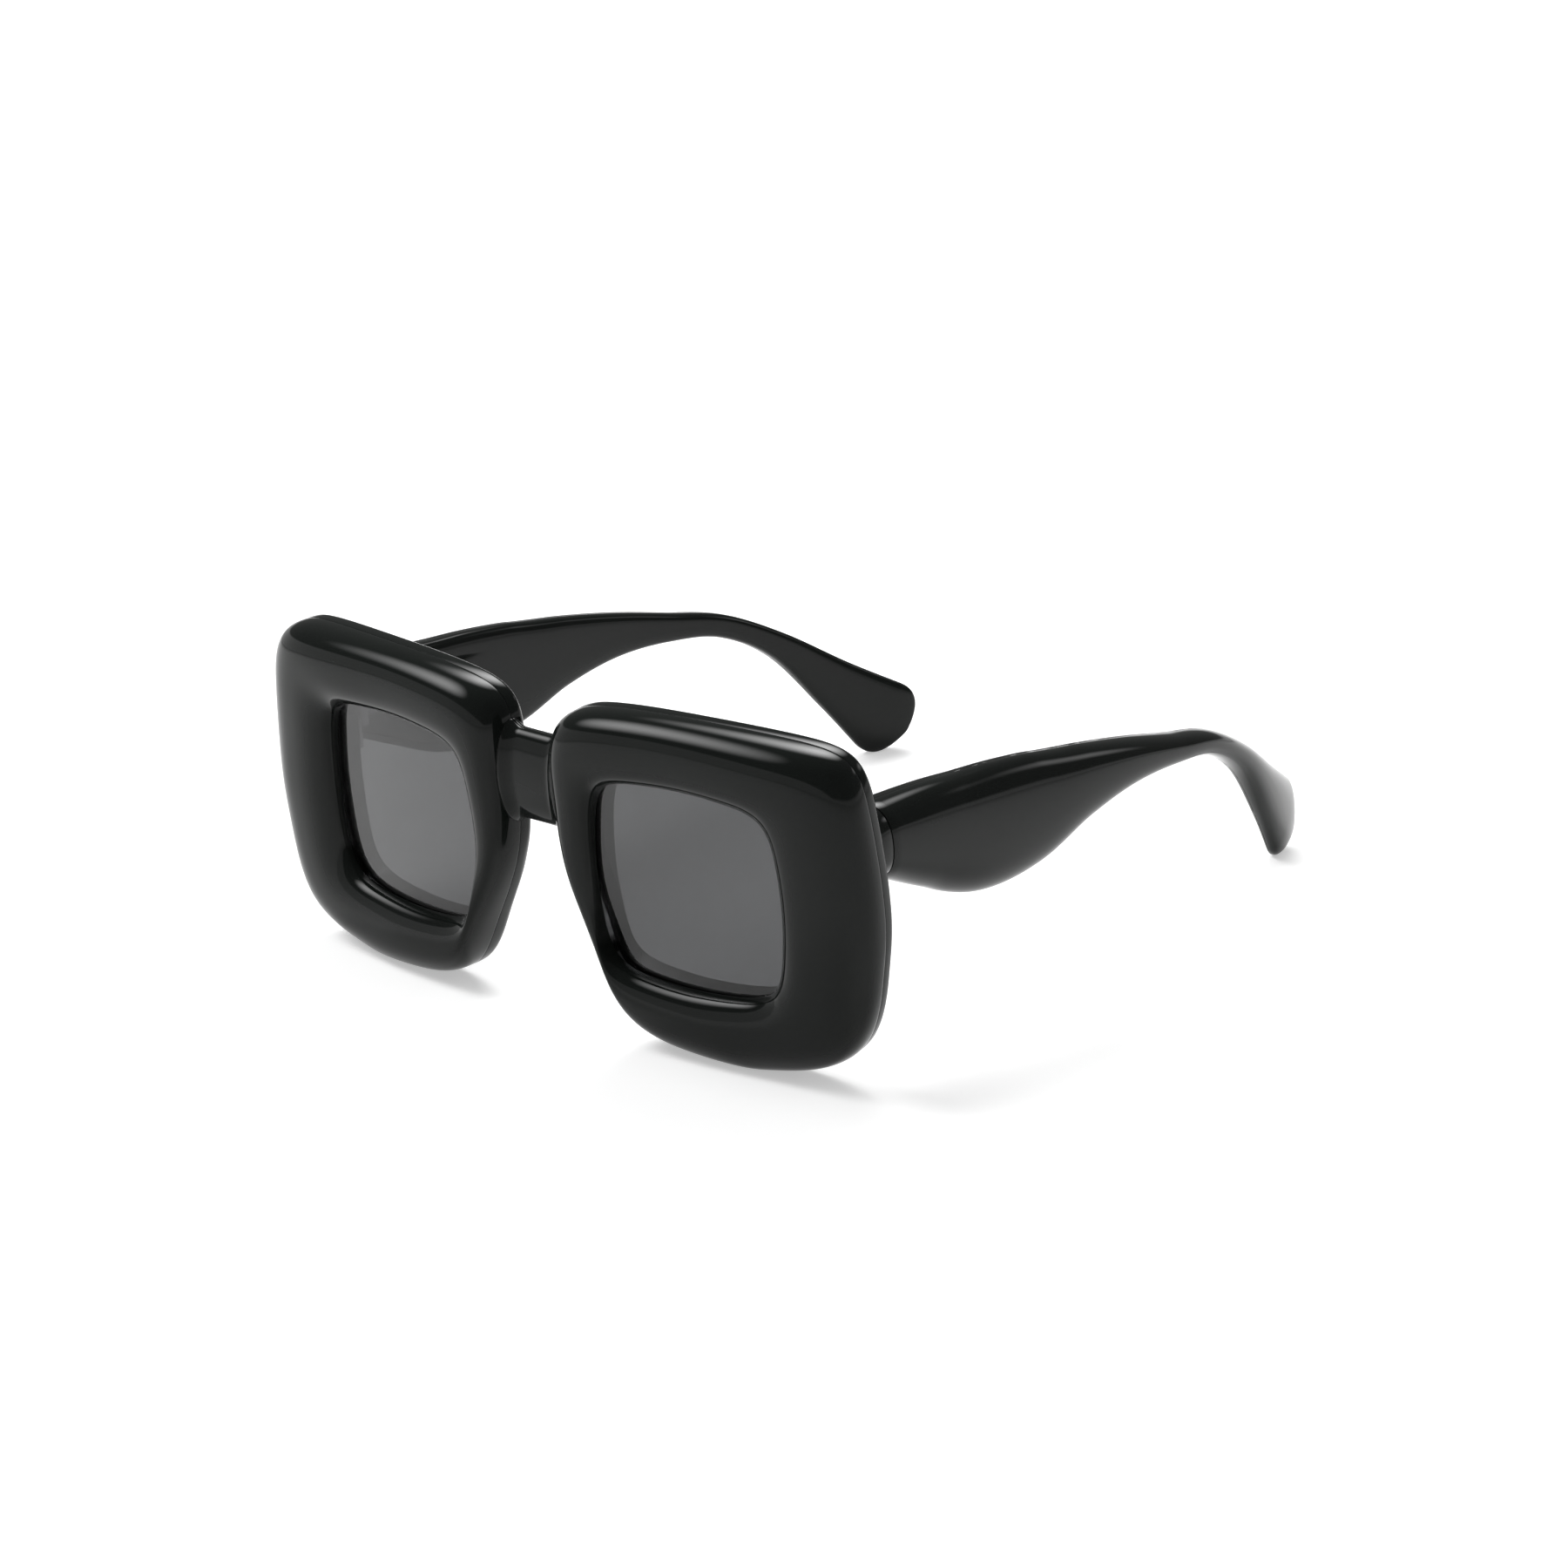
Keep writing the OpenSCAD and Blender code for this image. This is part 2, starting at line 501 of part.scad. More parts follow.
module back_shell() {
    color(frame_colour) difference() {
        union() {
            place() front_skin(back_sections, back_bridge_rows, 0, -cover_d, false);
            for (side = [0, 1]) mirror([side, 0, 0]) place() {
                grown_block(lug_line, -fold_gap / 2);
                grown_block(seat_line, leaf_top - leaf_t);
            }
        }
        for (side = [0, 1]) mirror([side, 0, 0]) {
            turning_room();
            front_screws() screw_holes(screw_r + thread_clear);
        }
    }
}

// Skin of a lens: front and back faces of rings drawn in towards the middle, joined at the edge
module left_lens() {
    inset = [for (t = cols) loop_pt(lens_line, t) - across(t) * (min(seat_w, wall(t)) - lens_clear)];
    n = len(cols);
    middle = [rim_gap + nose_band + lens_w / 2, low_band + lens_h / 2];
    faces_n = [lens_lift, lens_lift - lens_t];
    points = concat([for (d = faces_n, s = lens_ring_shares, p = inset) bend(mix(middle, p, s), d)],
        [for (d = faces_n) bend(middle, d)]);
    faces = [for (i = [0:n - 1]) let(j = (i + 1) % n) each concat(
        quad(i, n + i, n + j, j, false), [[n + i, 4 * n, n + j]],
        quad(2 * n + i, 2 * n + j, 3 * n + j, 3 * n + i, false), [[3 * n + i, 3 * n + j, 4 * n + 1]],
        quad(i, j, 2 * n + j, 2 * n + i, false))];
    color(lens_colour) place() polyhedron(points, faces, convexity = 4);
}
module right_lens() mirror([1, 0, 0]) left_lens();

module knuckle(level, h) {
    translate([0, 0, level * (knuckle_h + knuckle_gap) - h / 2]) cylinder(r = knuckle_r, h = h);
}
module left_front_leaf() {
    color(steel_colour) difference() {
        place_hinge() union() {
            translate([front_leaf_x, leaf_top - leaf_t, -front_leaf_h / 2])
                cube([front_leaf_end_x - front_leaf_x, leaf_t, front_leaf_h]);
            for (level = [-1, 1]) {
                knuckle(level, knuckle_h);
                translate([front_leaf_x / 2, leaf_top - leaf_t / 2,
                    level * (knuckle_h + knuckle_gap) - knuckle_h / 2])
                    cube([front_leaf_end_x - front_leaf_x / 2, leaf_t / 2 - leaf_top, knuckle_h]);
            }
        }
        place_hinge() cylinder(r = pin_r + thread_clear, h = 2 * stack_h, center = true);
        front_screws() screw_holes(screw_r + thread_clear);
    }
}
module right_front_leaf() mirror([1, 0, 0]) left_front_leaf();

module left_front_leaf_screws() color(steel_colour) front_screws() leaf_screw();
module right_front_leaf_screws() mirror([1, 0, 0]) left_front_leaf_screws();

module left_hinge_screw() {
    color(steel_colour) place_hinge() difference() {
        union() {
            translate([0, 0, -stack_h / 2 - pin_end]) cylinder(r = pin_r, h = stack_h + pin_end);
            translate([0, 0, stack_h / 2]) cylinder(r = pin_head_r, h = pin_head_h);
        }
        translate([-pin_head_r - overrun, -slot_w / 2, stack_h / 2 + pin_head_h - slot_d])
            cube([2 * (pin_head_r + overrun), slot_w, slot_d + overrun]);
    }
}
module right_hinge_screw() mirror([1, 0, 0]) left_hinge_screw();

module left_temple_outer() color(frame_colour) place_temple() tube_skin(outer_rings, true, true);
module right_temple_outer() mirror([1, 0, 0]) left_temple_outer();

// Outline of the temple's leaf, from y on, grown all round by g
module temple_leaf_plate(g) {
    start = knuckle_r + 2 * knuckle_room;
    place_hinge() {
        translate([temple_leaf_x - g, start - g, -leaf_h / 2 - g])
            cube([leaf_t + 2 * g, leaf_l - leaf_h / 2 - start + g, leaf_h + 2 * g]);
        translate([temple_leaf_x - g, leaf_l - leaf_h / 2, 0]) rotate([0, 90, 0])
            cylinder(r = leaf_h / 2 + g, h = leaf_t + 2 * g);
        translate([temple_leaf_x - g, 0, -knuckle_h / 2 - g])
            cube([leaf_t + 2 * g, start + leaf_edge, knuckle_h + 2 * g]);
    }
}
module left_temple_inner() {
    color(frame_colour) difference() {
        place_temple() tube_skin([for (t = temple_ts) inner_ring(t)], false, false);
        turning_room();
        temple_leaf_plate(knuckle_gap / 2);
        temple_screws() screw_holes(screw_r + thread_clear);
    }
}
module right_temple_inner() mirror([1, 0, 0]) left_temple_inner();

module left_temple_leaf() {
    color(steel_colour) difference() {
        union() {
            place_hinge() knuckle(0, knuckle_h);
            temple_leaf_plate(0);
        }
        place_hinge() cylinder(r = pin_r + pin_clear, h = 2 * stack_h, center = true);
        temple_screws() screw_holes(screw_r + thread_clear);
    }
}
module right_temple_leaf() mirror([1, 0, 0]) left_temple_leaf();

module left_temple_leaf_screws() color(steel_colour) temple_screws() leaf_screw();
module right_temple_leaf_screws() mirror([1, 0, 0]) left_temple_leaf_screws();

front_shell();
back_shell();
left_lens();
right_lens();
left_front_leaf();
right_front_leaf();
left_front_leaf_screws();
right_front_leaf_screws();
left_hinge_screw();
right_hinge_screw();
left_temple_outer();
left_temple_inner();
left_temple_leaf();
left_temple_leaf_screws();
right_temple_outer();
right_temple_inner();
right_temple_leaf();
right_temple_leaf_screws();
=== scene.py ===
# Square sunglasses with fat rounded rims, deep-set tinted lenses and two folding temples.
# Lengths are in millimetres until a mesh is made. The hinges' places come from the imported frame.
import json
import math

import bmesh
import bpy
from mathutils import Matrix, Vector


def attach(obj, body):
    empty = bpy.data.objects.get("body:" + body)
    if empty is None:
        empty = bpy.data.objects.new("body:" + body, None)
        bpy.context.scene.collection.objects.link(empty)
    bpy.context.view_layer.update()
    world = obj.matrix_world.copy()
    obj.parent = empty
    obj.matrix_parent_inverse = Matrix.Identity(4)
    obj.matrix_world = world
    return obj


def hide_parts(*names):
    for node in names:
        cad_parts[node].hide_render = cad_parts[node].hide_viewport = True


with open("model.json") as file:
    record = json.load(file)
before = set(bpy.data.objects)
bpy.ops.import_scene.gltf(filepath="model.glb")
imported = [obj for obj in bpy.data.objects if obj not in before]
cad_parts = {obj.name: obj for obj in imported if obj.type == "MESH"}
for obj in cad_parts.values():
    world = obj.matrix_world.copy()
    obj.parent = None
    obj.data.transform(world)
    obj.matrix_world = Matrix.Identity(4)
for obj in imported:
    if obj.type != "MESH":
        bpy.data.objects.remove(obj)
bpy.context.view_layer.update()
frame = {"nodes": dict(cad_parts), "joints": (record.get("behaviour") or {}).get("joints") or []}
mm = 0.001
mergeDistance, shortestEdge = 0.002, 0.001
solveSteps = 24
print("frame loaded:", len(frame["nodes"]), "nodes")


# Small helpers for numbers and curves

def mix(a, b, share):
    return a + (b - a) * share


def wayTo(azimuth, elevation):
    # direction in degrees, with azimuth from the front and towards +X
    a, e = math.radians(azimuth), math.radians(elevation)
    return Vector((math.sin(a) * math.cos(e), -math.cos(a) * math.cos(e), math.sin(e)))


def clamp(value):
    return min(1.0, max(0.0, value))


def loopPoint(points, t):
    # point at t, 0 to 1, of the closed smooth curve that the points draw in
    count = len(points)
    x = (t % 1.0) * count
    i = int(x)
    f = x - i
    g = 1 - f
    weights = (g ** 3, 3 * f ** 3 - 6 * f ** 2 + 4, 3 * g ** 3 - 6 * g ** 2 + 4, f ** 3)
    near = [points[(i + k) % count] for k in (-1, 0, 1, 2)]
    return sum((p * w for p, w in zip(near, weights)), Vector((0, 0))) / 6


def pathPoint(points, t):
    # point at t of the smooth curve that runs through the points
    last = len(points) - 1
    x = clamp(t) * last
    i = min(int(x), last - 1)
    f = x - i
    b, c = points[i], points[i + 1]
    a = points[i - 1] if i > 0 else 2 * b - c
    d = points[i + 2] if i < last - 1 else 2 * c - b
    return (b + f * (c - a) / 2 + f ** 2 * (a - 2.5 * b + 2 * c - d / 2)
            + f ** 3 * ((d - a) / 2 + 1.5 * (b - c)))


def roundness(angle, power):
    # reach, at this angle, of a rounded square that is one unit wide each way
    return (abs(math.cos(angle)) ** power + abs(math.sin(angle)) ** power) ** (-1 / power)


# Small helpers for meshes and node trees

def linked(name, data):
    made = bpy.data.objects.new(name, data)
    bpy.context.scene.collection.objects.link(made)
    return made


def meshObject(name, points, faces, material):
    mesh = bpy.data.meshes.new(name)
    mesh.from_pydata([Vector(p) * mm for p in points], [], faces)
    mesh.materials.append(material)
    return linked(name, mesh)


def reworked(piece, change):
    # lets the change work on the piece's mesh, then turns every face outwards
    work = bmesh.new()
    work.from_mesh(piece.data)
    change(work)
    bmesh.ops.recalc_face_normals(work, faces=work.faces)
    work.to_mesh(piece.data)
    work.free()
    return piece


def cleaned(piece):
    def merge(work):
        bmesh.ops.remove_doubles(work, verts=work.verts, dist=mergeDistance * mm)
        bmesh.ops.dissolve_degenerate(work, edges=work.edges, dist=shortestEdge * mm)

    return reworked(piece, merge)


def openEdges(work):
    return [e for e in work.edges if e.is_boundary]


def applied(piece):
    # turns what the modifiers make into the piece's own plain mesh
    bpy.context.view_layer.update()
    graph = bpy.context.evaluated_depsgraph_get()
    mesh = bpy.data.meshes.new_from_object(piece.evaluated_get(graph))
    piece.modifiers.clear()
    piece.data = mesh
    return piece


def cutWith(piece, cutter):
    # the cutter is used up
    cut = piece.modifiers.new("cut", "BOOLEAN")
    cut.operation = "DIFFERENCE"
    cut.solver = "EXACT"
    cut.object = cutter
    applied(piece)
    bpy.data.objects.remove(cutter)
    return piece


# radius of the small rounds on the edges of each kind of piece, and how many faces go round
edgeRounds = {"shell": 0.12, "temple": 0.15, "lug": 0.25, "seat": 0.2}
edgeSteps = 3
sharpAngle = {"shell": 40, "block": 50}


def softened(piece, kind, angle=sharpAngle["shell"]):
    # a small round on every sharp edge, then smooth shading between what stays sharp
    edge = piece.modifiers.new("edge", "BEVEL")
    edge.width = edgeRounds[kind] * mm
    edge.segments = edgeSteps
    edge.limit_method = "ANGLE"
    edge.angle_limit = math.radians(angle)
    edge.use_clamp_overlap = True
    applied(piece)
    return smoothed(piece)


def smoothed(piece, angle=sharpAngle["block"]):
    piece.data.shade_smooth()
    piece.data.set_sharp_from_angle(angle=math.radians(angle))
    return piece


def joined(name, pieces):
    # one black plastic piece out of several
    work = bmesh.new()
    for piece in pieces:
        work.from_mesh(piece.data)
    for face in work.faces:
        face.material_index = 0
    whole = pieces[0]
    work.to_mesh(whole.data)
    work.free()
    whole.data.materials.clear()
    whole.data.materials.append(blackPlastic)
    for piece in pieces[1:]:
        bpy.data.objects.remove(piece)
    whole.name = name
    whole.data.name = name
    return whole


def addNode(tree, kind, inputs=None, **settings):
    made = tree.nodes.new(kind)
    for name, value in settings.items():
        setattr(made, name, value)
    for key, value in (inputs or {}).items():
        if isinstance(value, bpy.types.NodeSocket):
            tree.links.new(value, made.inputs[key])
        else:
            made.inputs[key].default_value = value
    return made


def calc(tree, operation, *values):
    return addNode(tree, "ShaderNodeMath", dict(enumerate(values)), operation=operation).outputs[0]


def vectorCalc(tree, operation, *values):
    return addNode(tree, "ShaderNodeVectorMath", dict(enumerate(values)), operation=operation).outputs[0]


def scaled(tree, vector, factor):
    inputs = {"Vector": vector, "Scale": factor}
    return addNode(tree, "ShaderNodeVectorMath", inputs, operation="SCALE").outputs[0]


def blended(tree, a, b, share):
    return calc(tree, "ADD", a, calc(tree, "MULTIPLY", calc(tree, "SUBTRACT", b, a), share))


def newShapeTree(name, inputs):
    # an empty Geometry Nodes tree with named inputs; gives the tree and its inputs' sockets by name
    tree = bpy.data.node_groups.new(name, "GeometryNodeTree")
    kinds = {"f": "NodeSocketFloat", "i": "NodeSocketInt", "v": "NodeSocketVector",
             "m": "NodeSocketMaterial"}
    tree.interface.new_socket("Geometry", in_out="INPUT", socket_type="NodeSocketGeometry")
    for label, kind in inputs:
        tree.interface.new_socket(label, in_out="INPUT", socket_type=kinds[kind])
    tree.interface.new_socket("Geometry", in_out="OUTPUT", socket_type="NodeSocketGeometry")
    start = tree.nodes.new("NodeGroupInput")
    return tree, start.outputs


def finishShapeTree(tree, geometry, material):
    real = addNode(tree, "GeometryNodeRealizeInstances", {0: geometry}).outputs[0]
    painted = addNode(tree, "GeometryNodeSetMaterial", {"Geometry": real, "Material": material})
    addNode(tree, "NodeGroupOutput", {0: painted.outputs[0]})
    return tree


def shaped(piece, tree, values):
    # runs a tree on a piece and keeps the plain mesh that it makes
    modifier = piece.modifiers.new(tree.name, "NODES")
    modifier.node_group = tree
    for item in tree.interface.items_tree:
        if item.in_out == "INPUT" and item.name in values:
            modifier[item.identifier] = values[item.name]
    return cleaned(applied(piece))


def guideObject(name, points, attributes):
    # a line of points that carries the values a tree reads at each of them
    mesh = bpy.data.meshes.new(name)
    steps = [(i, i + 1) for i in range(len(points) - 1)]
    mesh.from_pydata([Vector(p) * mm for p in points], steps, [])
    for label, values in attributes.items():
        isVector = isinstance(values[0], Vector)
        kept = mesh.attributes.new(label, "FLOAT_VECTOR" if isVector else "FLOAT", "POINT")
        if isVector:
            kept.data.foreach_set("vector", [x for value in values for x in value])
        else:
            kept.data.foreach_set("value", values)
    return linked(name, mesh)


def sampled(tree, guide, label, kind, index):
    # what the guide carries under this label, or its own position where the label is None
    if label:
        source = addNode(tree, "GeometryNodeInputNamedAttribute", {"Name": label}, data_type=kind)
        value = source.outputs["Attribute"]
    else:
        value = addNode(tree, "GeometryNodeInputPosition").outputs[0]
    reader = addNode(tree, "GeometryNodeSampleIndex", {"Geometry": guide, "Index": index}, data_type=kind)
    tree.links.new(value, reader.inputs["Value"])
    return reader.outputs[0]


def superRadius(tree, cosine, sine, power):
    # the same as roundness, as nodes, for a cosine and a sine that aren't negative
    total = calc(tree, "ADD", calc(tree, "POWER", cosine, power), calc(tree, "POWER", sine, power))
    return calc(tree, "POWER", total, calc(tree, "DIVIDE", -1, power))


def gridPlace(tree, guide, rows):
    # a grid with one column for each guide point: its mesh, and the column and row of each of its points
    size = addNode(tree, "GeometryNodeAttributeDomainSize", {"Geometry": guide})
    grid = addNode(tree, "GeometryNodeMeshGrid", {
        "Vertices X": size.outputs["Point Count"], "Vertices Y": rows})
    index = addNode(tree, "GeometryNodeInputIndex").outputs[0]
    column = calc(tree, "FLOOR", calc(tree, "DIVIDE", calc(tree, "ADD", index, 0.5), rows))
    row = calc(tree, "SUBTRACT", index, calc(tree, "MULTIPLY", column, rows))
    return grid.outputs["Mesh"], column, row


def moveTo(tree, mesh, position):
    return addNode(tree, "GeometryNodeSetPosition", {"Geometry": mesh, "Position": position}).outputs[0]


# Materials

def newMaterial(name):
    material = bpy.data.materials.new(name)
    material.use_nodes = True
    tree = material.node_tree
    shader = tree.nodes["Principled BSDF"]
    place = tree.nodes.new("ShaderNodeTexCoord").outputs["Object"]
    return material, tree, shader, place


def dress(tree, shader, look, grain, relief):
    # colour and polish follow the grain, and the relief dents the surface
    tint = addNode(tree, "ShaderNodeValToRGB", {"Fac": grain})
    tint.color_ramp.elements[0].color = look["dark"]
    tint.color_ramp.elements[1].color = look["light"]
    polish = addNode(tree, "ShaderNodeMapRange", {
        "Value": grain, "From Min": look["grainLow"], "From Max": look["grainHigh"],
        "To Min": look["roughLow"], "To Max": look["roughHigh"]})
    bump = addNode(tree, "ShaderNodeBump", {
        "Height": relief, "Strength": look["bump"], "Distance": look["bumpHeight"] * mm})
    tree.links.new(tint.outputs["Color"], shader.inputs["Base Color"])
    tree.links.new(polish.outputs["Result"], shader.inputs["Roughness"])
    tree.links.new(bump.outputs["Normal"], shader.inputs["Normal"])


plasticLook = {
    "dark": (0.0055, 0.0066, 0.006, 1), "light": (0.009, 0.011, 0.0098, 1), "ior": 1.5, "specular": 0.15,
    "grainLow": 0.3, "grainHigh": 0.7, "roughLow": 0.05, "roughHigh": 0.09,
    "cloudScale": 60, "cloudDetail": 3, "rippleScale": 420, "rippleDetail": 1,
    "bump": 0.25, "bumpHeight": 0.002,
}


def makePlastic():
    # black moulded plastic: even colour with faint clouds, a soft polish and a barely rippled skin
    look = plasticLook
    material, tree, shader, place = newMaterial("blackPlastic")
    clouds = addNode(tree, "ShaderNodeTexNoise", {
        "Vector": place, "Scale": look["cloudScale"], "Detail": look["cloudDetail"]})
    ripple = addNode(tree, "ShaderNodeTexNoise", {
        "Vector": place, "Scale": look["rippleScale"], "Detail": look["rippleDetail"]})
    dress(tree, shader, look, clouds.outputs["Fac"], ripple.outputs["Fac"])
    shader.inputs["IOR"].default_value = look["ior"]
    shader.inputs["Specular IOR Level"].default_value = look["specular"]
    return material


lensLook = {
    "top": (0.048, 0.049, 0.051, 1), "low": (0.053, 0.054, 0.056, 1), "ior": 1.5, "specular": 0.12,
    "fadeFrom": 0.015, "fadeTo": 0.05,
}


def makeLensGlass():
    # neutral grey tint, a touch deeper towards the top
    look = lensLook
    material, tree, shader, place = newMaterial("tintedLens")
    height = addNode(tree, "ShaderNodeSeparateXYZ", {"Vector": place}).outputs["Z"]
    fade = addNode(tree, "ShaderNodeMapRange", {
        "Value": height, "From Min": look["fadeFrom"], "From Max": look["fadeTo"]})
    tint = addNode(tree, "ShaderNodeValToRGB", {"Fac": fade.outputs["Result"]})
    tint.color_ramp.elements[0].color = look["low"]
    tint.color_ramp.elements[1].color = look["top"]
    tree.links.new(tint.outputs["Color"], shader.inputs["Base Color"])
    shader.inputs["Roughness"].default_value = 0.0
    shader.inputs["IOR"].default_value = look["ior"]
    shader.inputs["Specular IOR Level"].default_value = look["specular"]
    shader.inputs["Transmission Weight"].default_value = 1.0
    return material


steelLook = {
    "dark": (0.42, 0.42, 0.43, 1), "light": (0.62, 0.62, 0.63, 1),
    "grainLow": 0.3, "grainHigh": 0.7, "roughLow": 0.22, "roughHigh": 0.42,
    "stretch": (6000, 500, 6000), "grainDetail": 4, "grainRoughness": 0.6, "bump": 0.3, "bumpHeight": 0.006,
}


def makeSteel():
    # brushed steel with its grain along the leaves
    look = steelLook
    material, tree, shader, place = newMaterial("brushedSteel")
    stretched = addNode(tree, "ShaderNodeMapping", {"Vector": place, "Scale": look["stretch"]})
    grain = addNode(tree, "ShaderNodeTexNoise", {
        "Vector": stretched.outputs["Vector"], "Scale": 1, "Detail": look["grainDetail"],
        "Roughness": look["grainRoughness"]})
    dress(tree, shader, look, grain.outputs["Fac"], grain.outputs["Fac"])
    shader.inputs["Metallic"].default_value = 1.0
    return material


blackPlastic = makePlastic()
tintedLens = makeLensGlass()
brushedSteel = makeSteel()
print("materials made")


# Front: outlines of the rims and the lens openings, drawn flat, as [across, up]

front = {
    "faceRadius": 320, "lean": 5, "bulge": 7.6, "cover": 3.2, "coverEdge": 1.4, "seamGap": 0.1, "wall": 1.8,
    "lensHeight": 36.5, "lensWidth": 38.5, "sideBand": 17.5, "topBand": 12, "lowBand": 13, "noseBand": 11.75,
    "rimGap": 2.25, "sideLean": 1.25, "noseSlope": 16.5, "rimRound": 12, "noseTopRound": 16, "noseRound": 14,
    "lowRound": 22, "noseCrown": 5, "sideCrown": 1.5, "edgeCrown": 0.5,
    "lensSlope": 0.5, "lensRound": 10, "lensCrown": 0.5, "lensThick": 2, "lensLift": 3, "lensSeat": 1.2,
    "lensClear": 0.1, "ribClear": 0.15,
    "bridgeTop": 53, "bridgeLow": 36, "bridgeDepth": 3.4, "padDepth": 1, "padHeight": 27, "padLength": 18,
    "cutShare": 0.15, "bulgePower": 2.4, "swellPower": 0.25, "bridgePower": 2.2, "wallCap": 0.3,
    "padPeak": 0.45, "padRound": 0.7,
}
rimColumns = 288
bulgeRows = 49


def softOutline(corners, rounds, crowns):
    # guide points of an outline with soft corners, and sides that bow out by their crowns
    line = []
    for i in range(4):
        before, corner, after = corners[(i + 3) % 4], corners[i], corners[(i + 1) % 4]
        a = (corner - before).normalized()
        b = (after - corner).normalized()
        line.append((before + corner) / 2 + Vector((a.y, -a.x)) * crowns[i])
        line.append(corner - a * rounds[i])
        line.append(corner + (b - a) * rounds[i] * front["cutShare"])
        line.append(corner + b * rounds[i])
    return line


rimWidth = front["noseBand"] + front["lensWidth"] + front["sideBand"]
rimHeight = front["lowBand"] + front["lensHeight"] + front["topBand"]
noseEdge = front["rimGap"]
lensEdge = noseEdge + front["noseBand"]
rimLine = softOutline(
    [Vector((noseEdge + rimWidth - front["sideLean"], rimHeight)), Vector((noseEdge, rimHeight)),
     Vector((noseEdge + front["noseSlope"], 0)), Vector((noseEdge + rimWidth, 0))],
    [front["rimRound"], front["noseTopRound"], front["noseRound"], front["lowRound"]],
    [front["sideCrown"], front["edgeCrown"], front["noseCrown"], front["edgeCrown"]])
lensLine = softOutline(
    [Vector((lensEdge + front["lensWidth"], front["lowBand"] + front["lensHeight"])),
     Vector((lensEdge, front["lowBand"] + front["lensHeight"])),
     Vector((lensEdge + front["lensSlope"], front["lowBand"])),
     Vector((lensEdge + front["lensWidth"], front["lowBand"]))],
    [front["lensRound"]] * 4,
    [front["lensCrown"]] * 4)
lean = math.radians(front["lean"])


def bent(u, v, out):
    # place of the flat point (u, v) that stands out from the bent and leaning seam surface
    a = u / front["faceRadius"]
    radius = front["faceRadius"] + out
    y = front["faceRadius"] - radius * math.cos(a)
    return Vector((radius * math.sin(a), y * math.cos(lean) - v * math.sin(lean),
                   y * math.sin(lean) + v * math.cos(lean)))


def skinY(x, z, out):
    # how far back that surface lies at x and z
    radius = front["faceRadius"] + out
    y = front["faceRadius"] - radius * math.cos(math.asin(x / radius))
    v = (z - y * math.sin(lean)) / math.cos(lean)
    return y * math.cos(lean) - v * math.sin(lean)


def bandWay(t):
    # from the rim's outline to the lens opening, across the band
    return loopPoint(lensLine, t) - loopPoint(rimLine, t)


noseSide = (0.25, 0.75)  # part of the outline that runs down beside the nose


def heightAt(v):
    # where the rim's outline comes down to the height v on the nose side
    a, b = noseSide
    for step in range(solveSteps):
        middle = (a + b) / 2
        if loopPoint(rimLine, middle).y > v:
            a = middle
        else:
            b = middle
    return a


# Temples: sizes, and the places that hang on the hinges in the frame

temple = {
    "length": 143, "hingeHeight": 43, "thick": 9, "tipThick": 4.6, "inner": 3, "belly": 22.5, "tipIn": 17.5,
    "tipHeight": 3.4, "tipRound": 7.5, "lug": 3.3, "foldGap": 0.3, "pivotOut": 1.2,
    "outerPower": 2.4, "innerPower": 5, "tipPower": 2.2, "tipFacePower": 2.2, "curlPower": 3.4,
    "tipFlat": 0.7, "blend": 0.14,
    # hinge end, belly, shoulder, neck, bend over the ear, hook and tip, as shares of the length, of the way
    # up to the hinge and of the belly
    "features": [(0, 1, 0.6), (0.1, 0.93, 0.83), (0.2, 0.86, 1), (0.3, 0.85, 0.92), (0.4, 0.88, 0.63),
                 (0.5, 0.88, 0.4), (0.6, 0.84, 0.26), (0.7, 0.77, 0.21), (0.8, 0.59, 0.25), (0.9, 0.3, 0.48),
                 (1, 0, 0.8)],
}
pivot = Vector(next(j for j in frame["joints"] if j["name"] == "left_temple_hinge")["pos_m"]) / mm
innerX = pivot.x + temple["pivotOut"]
templeX = innerX + temple["thick"]
hingeZ = temple["hingeHeight"] * math.cos(lean)
hingeY = skinY(templeX - temple["thick"] / 2, hingeZ, -front["cover"]) + temple["lug"]
frontPlace = Vector((0, pivot.y - hingeY, pivot.z - hingeZ))
templePlace = Vector((0, pivot.y + temple["foldGap"] / 2 / math.cos(lean), pivot.z - hingeZ))
templeLine = [
    Vector((along * temple["length"], mix(temple["tipHeight"], hingeZ, up), deep * temple["belly"] / 2))
    for along, up, deep in temple["features"]]


def placed(point, side):
    # where a point of the front comes to stand, on the wearer's left or mirrored to the right
    place = Vector(point) + frontPlace
    return place.x * side, place.y, place.z


def onFront(flat, out, side=1):
    return placed(bent(flat.x, flat.y, out), side)


# Front shell: a rounded section that swells with the band's width, swept round each rim by a node tree

